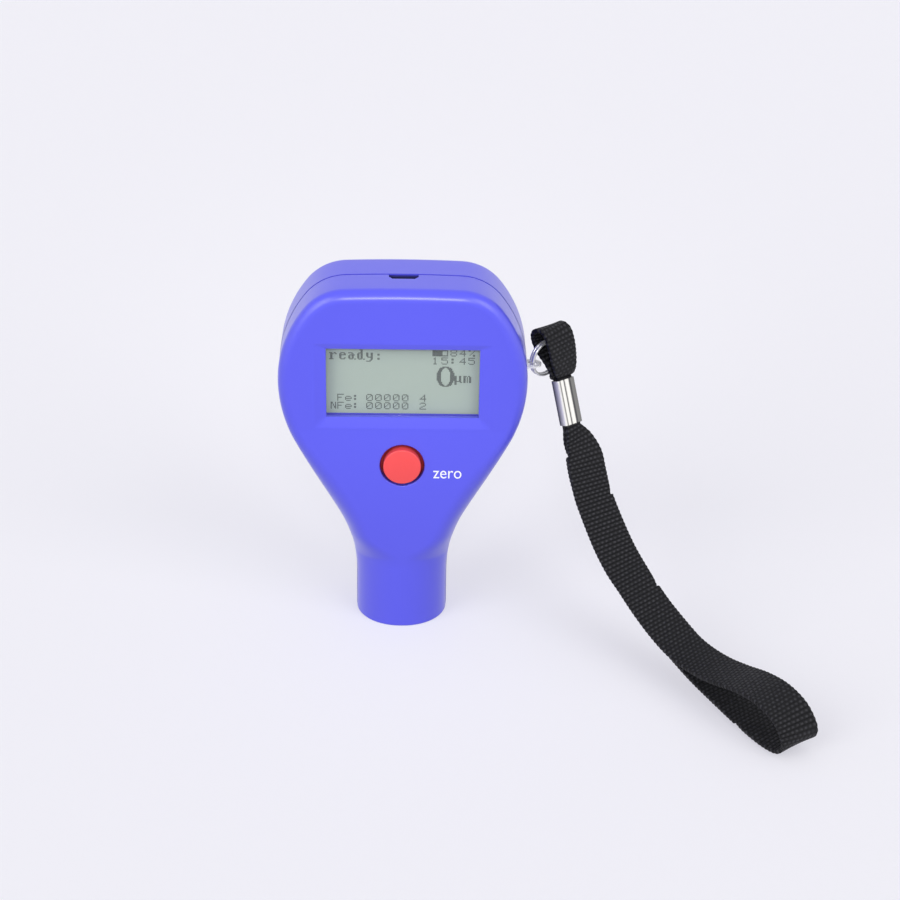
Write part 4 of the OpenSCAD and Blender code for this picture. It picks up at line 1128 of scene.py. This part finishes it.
BAND_ROUTE = [(10.3, 8.8, 53.4, 9), (12.6, 8.9, 49.6), (14.4, 8.8, 45), (16.6, 8.7, 40), (19.6, 8.5, 36),
              (22.9, 8.3, 32), (26.6, 8.1, 28), (31.2, 8, 24), (36.2, 8, 20.8), (42.2, 8, 16.9),
              (48.2, 8, 13.7), (54.2, 8, 11.3), (60.2, 8, 10.1), (67.2, 7.9, 10.1), (74.2, 7.8, 11.2),
              (82, 7.6, 12.9), (89, 7.3, 13.3), (95.2, 7.1, 11.6), (98.8, 7, 8.4), (99.6, 7, 5.6),
              (97.8, 7, 3.2), (93.6, 7.2, 2.3), (87, 7.6, 2.5), (79.5, 8.4, 3.2), (71, 9.4, 4.2),
              (62.6, 10.2, 5.6), (54.5, 10.7, 8), (46.5, 10.8, 11.2), (39.5, 10.8, 14.6), (32.5, 10.9, 19),
              (25.5, 11.1, 24.2), (19.7, 11.3, 30.2), (14.8, 11.3, 36.7), (11.5, 11, 43.3),
              (9.3, 10.2, 49.2, 9.6), (7.8, 9, 53.3, 7.4)]
print("route points:", len(LOOP_ROUTE), "on the loop,", len(BAND_ROUTE), "on the band")


# %% Curves of the strap
def strap_to_row(p):
    """Points (away, along, up) of the strap's frame in the row frame."""
    p = np.asarray(p, float)
    c, s = math.cos(STRAP_TURN), math.sin(STRAP_TURN)
    away, along = p[..., 0], p[..., 1]
    return np.stack([HOLE_X + along * c + away * s, along * s - away * c, p[..., 2]], -1)


def in_sleeve(depth, side):
    """Point down the sleeve's axis on its near (1) or far (-1) side, with the gathered width."""
    s, c = math.sin(SLEEVE_TILT), math.cos(SLEEVE_TILT)
    away, up = depth * s + side * LAYER * c, side * LAYER * s - depth * c
    return SLEEVE_TOP[0] + away, SLEEVE_TOP[1], SLEEVE_TOP[2] + up, GATHER_W


def full_route(route, lift, far_first, depths, width):
    """Route points with the legs in the sleeve added at both ends."""
    start = [in_sleeve(d, -1 if far_first else 1) for d in depths]
    end = [in_sleeve(d, 1 if far_first else -1) for d in depths[::-1]]
    middle = [(p[0], p[1], p[2] + lift, p[3] if len(p) > 3 else width) for p in route]
    return np.array(start + middle + end)


def spline(p, n):
    """Catmull-Rom curve through p, n steps a span."""
    q = np.concatenate([p[:1], p, p[-1:]])
    f = np.linspace(0, 1, n, endpoint=False)[None, :, None]
    a, b, c, d = (q[k:len(q) - 3 + k][:, None, :] for k in range(4))
    bend = (2 * a - 5 * b + 4 * c - d) * f ** 2 + (3 * b - a - 3 * c + d) * f ** 3
    curve = b + ((c - a) * f + bend) / 2
    return np.concatenate([curve.reshape(-1, p.shape[1]), p[-1:]])


def resample(path, step):
    """Path at equal steps of length, with the length at each point."""
    run = np.concatenate([[0], np.cumsum(np.linalg.norm(np.diff(path[:, :3], axis=0), axis=1))])
    s = np.linspace(0, run[-1], int(run[-1] / step) + 1)
    return np.stack([np.interp(s, run, path[:, k]) for k in range(path.shape[1])], 1), s


print("lug's hole at", [round(HOLE_X, 2), 0, round(LUG_Z, 2)], "mm")

# %% [markdown]
# ## The bands
# Webbing is flat with round edges, its edge is scalloped by the weft, and here and there it is drawn
# in by a worn nick. A curve with a bevel can't change its width or lean on its way. So a rounded flat
# section is carried along the path as arrays: one direction across, one up, and a width at each point.

# %% Band surface
SCALLOP, SCALLOP_PITCH, SCALLOP_FADE, EDGE_SHARE = 0.08, 1.25, 4, 0.6
NICK_RUN, LEAN_RUN = 1.6, 18
FLAT_POINTS, EDGE_POINTS, SPAN_STEPS, PATH_STEP = 25, 9, 12, 0.3


def nick_depth(s, nicks, side):
    """How far one edge draws in along the band: each nick deepens as exp(-q / NICK_RUN) and ends at its place.

    q is the way left to the nick, counted along the band (way 1) or against it (way -1).
    """
    place, depth, way = np.array([n[:1] + n[2:] for n in nicks if n[1] == side]).reshape(-1, 3).T
    left = (place - s[:, None]) * way
    return np.sum(np.where(left > 0, depth * np.exp(-np.abs(left) / NICK_RUN), 0), 1)


def band_grid(path, s, tilt, nicks):
    """Rounded flat section swept along a path of (away, along, up, width), far edge leaning by tilt.

    The section's edge is a half ellipse on the band's thickness, scalloped by the weft. Nicks are
    (place, edge, depth, way) and draw in one edge.
    """
    xyz = path[:, :3]
    t = np.gradient(xyz, axis=0)
    t /= np.linalg.norm(t, axis=1)[:, None]
    end = np.minimum(s, s[-1] - s) - LEG_IN
    k = tilt * smooth_step(end / LEAN_RUN)
    lean = np.stack([k, np.ones_like(k), k], 1)
    across = lean - t * np.sum(lean * t, 1)[:, None]
    across /= np.linalg.norm(across, axis=1)[:, None]
    up = np.cross(t, across)
    r = BAND_T / 2
    weft = SCALLOP * np.sin(2 * np.pi * s / SCALLOP_PITCH) * smooth_step(end / SCALLOP_FADE)
    half = path[:, 3] / 2 + weft - EDGE_SHARE * r
    bend = np.radians(np.linspace(-90, 90, EDGE_POINTS))[1:-1]
    share = np.concatenate([np.linspace(-1, 1, FLAT_POINTS), np.ones_like(bend)])
    edge = np.concatenate([np.zeros(FLAT_POINTS), EDGE_SHARE * r * np.cos(bend)])
    rise = np.concatenate([np.full(FLAT_POINTS, r), -r * np.sin(bend)])
    w = half[:, None] * share + edge
    w, h = np.concatenate([w, -w], 1), np.concatenate([rise, -rise])
    draw = [(1 - nick_depth(s, nicks, side) / half)[:, None] for side in (1, -1)]
    w = w * np.where(w > 0, *draw)
    points = xyz[:, None, :] + across[:, None, :] * w[..., None] + up[:, None, :] * h[:, None]
    return points, np.stack([np.repeat(s[:, None], w.shape[1], 1), w], -1)


def add_band(name, route, tilt, node, nicks=()):
    """Band piece from a route; returns it with its centre line in the row frame and its length."""
    path, s = resample(spline(route, SPAN_STEPS), PATH_STEP)
    points, uv = band_grid(path, s, tilt, nicks)
    piece = mesh_piece(name, strap_to_row(points), tube_faces(*points.shape[:2]), MATERIALS["webbing"],
                       "strap", uv=uv, node=node, slot="webbing")
    return piece, strap_to_row(path[:, :3]), s[-1]


# %% Loop and band
BAND_LEAN = 0.22
BAND_NICKS = [(13.4, -1, 0.8, 1), (27, 1, 0.7, 1), (56.1, 1, 0.7, 1), (142.3, -1, 0.5, 1),
              (190, 1, 0.9, -1), (219.1, 1, 0.9, -1), (233.8, -1, 0.9, -1)]
LOOP_DEPTHS = [LEG_IN, LEG_IN / 2, 0, -LEG_OUT]
BAND_DEPTHS = [SLEEVE_LEN - d for d in (LEG_IN, 2 * LEG_IN / 3, LEG_IN / 3, 0, -LEG_OUT)]
loop_route = full_route(LOOP_ROUTE, LUG_Z, True, LOOP_DEPTHS, LOOP_W)
band_route = full_route(BAND_ROUTE, 0, False, BAND_DEPTHS, BAND_W)
loop, _, loop_len = add_band("short_loop", loop_route, 0, "strap_loop")
band, band_line, band_len = add_band("wrist_band", band_route, BAND_LEAN, "strap_band", BAND_NICKS)
print("band length:", round(band_len, 1), "mm, short loop:", round(loop_len, 1), "mm")

# %% [markdown]
# ## Split ring
# The ring is a piece of springy wire wound twice, so that the strap can be threaded on. A torus would
# have no ends and only one turn. A circle of wire carried along a flat helix is the real thing, with
# its cut ends at the lower right.

# %% Ring
RING_R, WIRE_R, RING_PITCH, RING_LIFT, RING_START = 4.8, 0.42, 0.9, 0.45, -60
RING_STEPS, WIRE_STEPS = 193, 12


def add_ring():
    """Two turns of wire side by side: with the angle a and the turns n so far, the wire's middle lies at
    away = pitch (1 - n), along = x + R cos a and up = z + R sin a."""
    a = np.radians(np.linspace(RING_START, RING_START + 720, RING_STEPS))[:, None]
    q = np.radians(np.arange(0, 360, 360 / WIRE_STEPS))[None, :]
    turns = (np.degrees(a) - RING_START) / 360
    out = RING_R + WIRE_R * np.cos(q)
    middle = math.sqrt(RING_R ** 2 - RING_LIFT ** 2)
    points = np.stack([RING_PITCH * (1 - turns) - WIRE_R * np.sin(q), middle + out * np.cos(a),
                       LUG_Z + RING_LIFT + out * np.sin(a)], -1)
    return mesh_piece("split_ring_wire", strap_to_row(points), tube_faces(RING_STEPS, WIRE_STEPS),
                      MATERIALS["ring_chrome"], "strap", node="split_ring", slot="ring_chrome")


ring = add_ring()
print("ring:", len(ring.data.polygons), "faces")

# %% [markdown]
# ## Sleeve
# A sleeve of thin plated metal is pressed round the four layers of webbing. Pressing leaves two long
# creases on its broad sides. A plain mirror would show whatever the room holds. So the creases are
# shaped in the section, and an attribute on the points tells the material where to paint shade: in the
# creases, on the far edge, at the near corner and behind it, where the metal lies in shadow.

# %% Sleeve section
SLEEVE_W, SLEEVE_T, SLEEVE_WALL, SLEEVE_ROUND, INNER_ROUND = 5.8, 3.3, 0.3, 0.6, 0.3
CREASE_X, CREASE_W, CREASE_DEEP, CREASE_SHADE_W = 0.87, 0.14, 0.16, 0.26
CORNER_X, CORNER_SHADE_W = -2.3, 0.22
MOUTH_IN, MOUTH_LONG, LIP = 0.985, 0.12, 0.1


def sleeve_section(w, t, r, crease):
    """Flat section with rounded corners, anticlockwise; its broad sides have two creases.

    On a broad side the height drops by crease exp(-((|x| - CREASE_X) / CREASE_W)^2).
    """
    x = np.linspace(w / 2 - r, r - w / 2, 61)
    y = t / 2 - crease * np.exp(-((np.abs(x) - CREASE_X) / CREASE_W) ** 2)
    bend = np.radians(np.linspace(90, 180, 10))[1:]
    corner = np.stack([r - w / 2 + r * np.cos(bend), t / 2 - r + r * np.sin(bend)], 1)
    half = np.concatenate([np.stack([x, y], 1), corner, corner[::-1] * [1, -1]])
    return np.concatenate([half, -half])


def sleeve_painted_shade(section):
    """Painted shade round the section: in both creases, on the far edge, at the near corner and behind it.

    A crease is exp(-((|x| - CREASE_X) / CREASE_SHADE_W)^2), and the corner
    exp(-((x - CORNER_X) / CORNER_SHADE_W)^2).
    """
    x, y = section[:, 0], section[:, 1]
    crease = np.exp(-((np.abs(x) - CREASE_X) / CREASE_SHADE_W) ** 2)
    corner = np.exp(-((x - CORNER_X) / CORNER_SHADE_W) ** 2) * (y > 0.9)
    far_edge = smooth_step((x - 0.9) / 0.3)
    back_left_shade = smooth_step((0.3 - y) / 0.5) * (x < -2.2)
    # Every mark here is painted shade: the creases, the far edge, the near corner and the back of the left side.
    return np.clip(0.95 * crease + 0.85 * far_edge + 0.9 * corner + back_left_shade, 0, 1)


def plated_with_painted_shade(name, bright, painted_dark):
    """Plated metal whose marks turn it from bright to a near-black painted shade."""
    material = plain_material(name, bright, 0.24, 0.12)
    marks = material.node_tree.nodes.new("ShaderNodeAttribute")
    marks.attribute_name = "marks"
    # Painted shade: the marks blend the plating towards near black.
    tint(material, marks.outputs["Fac"], bright, painted_dark)
    return material


# %% Sleeve
def add_sleeve():
    """Metal sleeve: the section down its tilted axis, open at both ends, with a wall."""
    outer = sleeve_section(SLEEVE_W, SLEEVE_T, SLEEVE_ROUND, CREASE_DEEP)
    inner = sleeve_section(SLEEVE_W - 2 * SLEEVE_WALL, SLEEVE_T - 2 * SLEEVE_WALL, INNER_ROUND, 0)
    mouth, long = outer * MOUTH_IN, SLEEVE_LEN
    ends = [(inner, LIP), (inner, 0), (mouth, 0), (outer, MOUTH_LONG)]
    ends += [(outer, d) for d in np.linspace(0.8, long - 0.8, 8)]
    ends += [(outer, long - MOUTH_LONG), (mouth, long), (inner, long), (inner, long - LIP), (inner, long / 2),
             (inner, LIP)]
    x, y = np.moveaxis(np.array([p for p, _ in ends]), -1, 0)
    d = np.array([depth for _, depth in ends])[:, None]
    s, c = math.sin(SLEEVE_TILT), math.cos(SLEEVE_TILT)
    points = np.stack([SLEEVE_TOP[0] + d * s + y * c, SLEEVE_TOP[1] + x, SLEEVE_TOP[2] - d * c + y * s], -1)
    plating = plated_with_painted_shade("sleeve_plating", (0.95, 0.93, 0.88), (0.055, 0.055, 0.06))
    faces = grid_faces(len(ends), len(outer), wrap_cols=True)
    marks = np.tile(sleeve_painted_shade(outer), len(ends))
    return mesh_piece("sleeve", strap_to_row(points), faces, plating, "strap", node="strap_crimp",
                      slot="ring_chrome", marks=marks)


sleeve = add_sleeve()
print("sleeve:", len(sleeve.data.polygons), "faces")
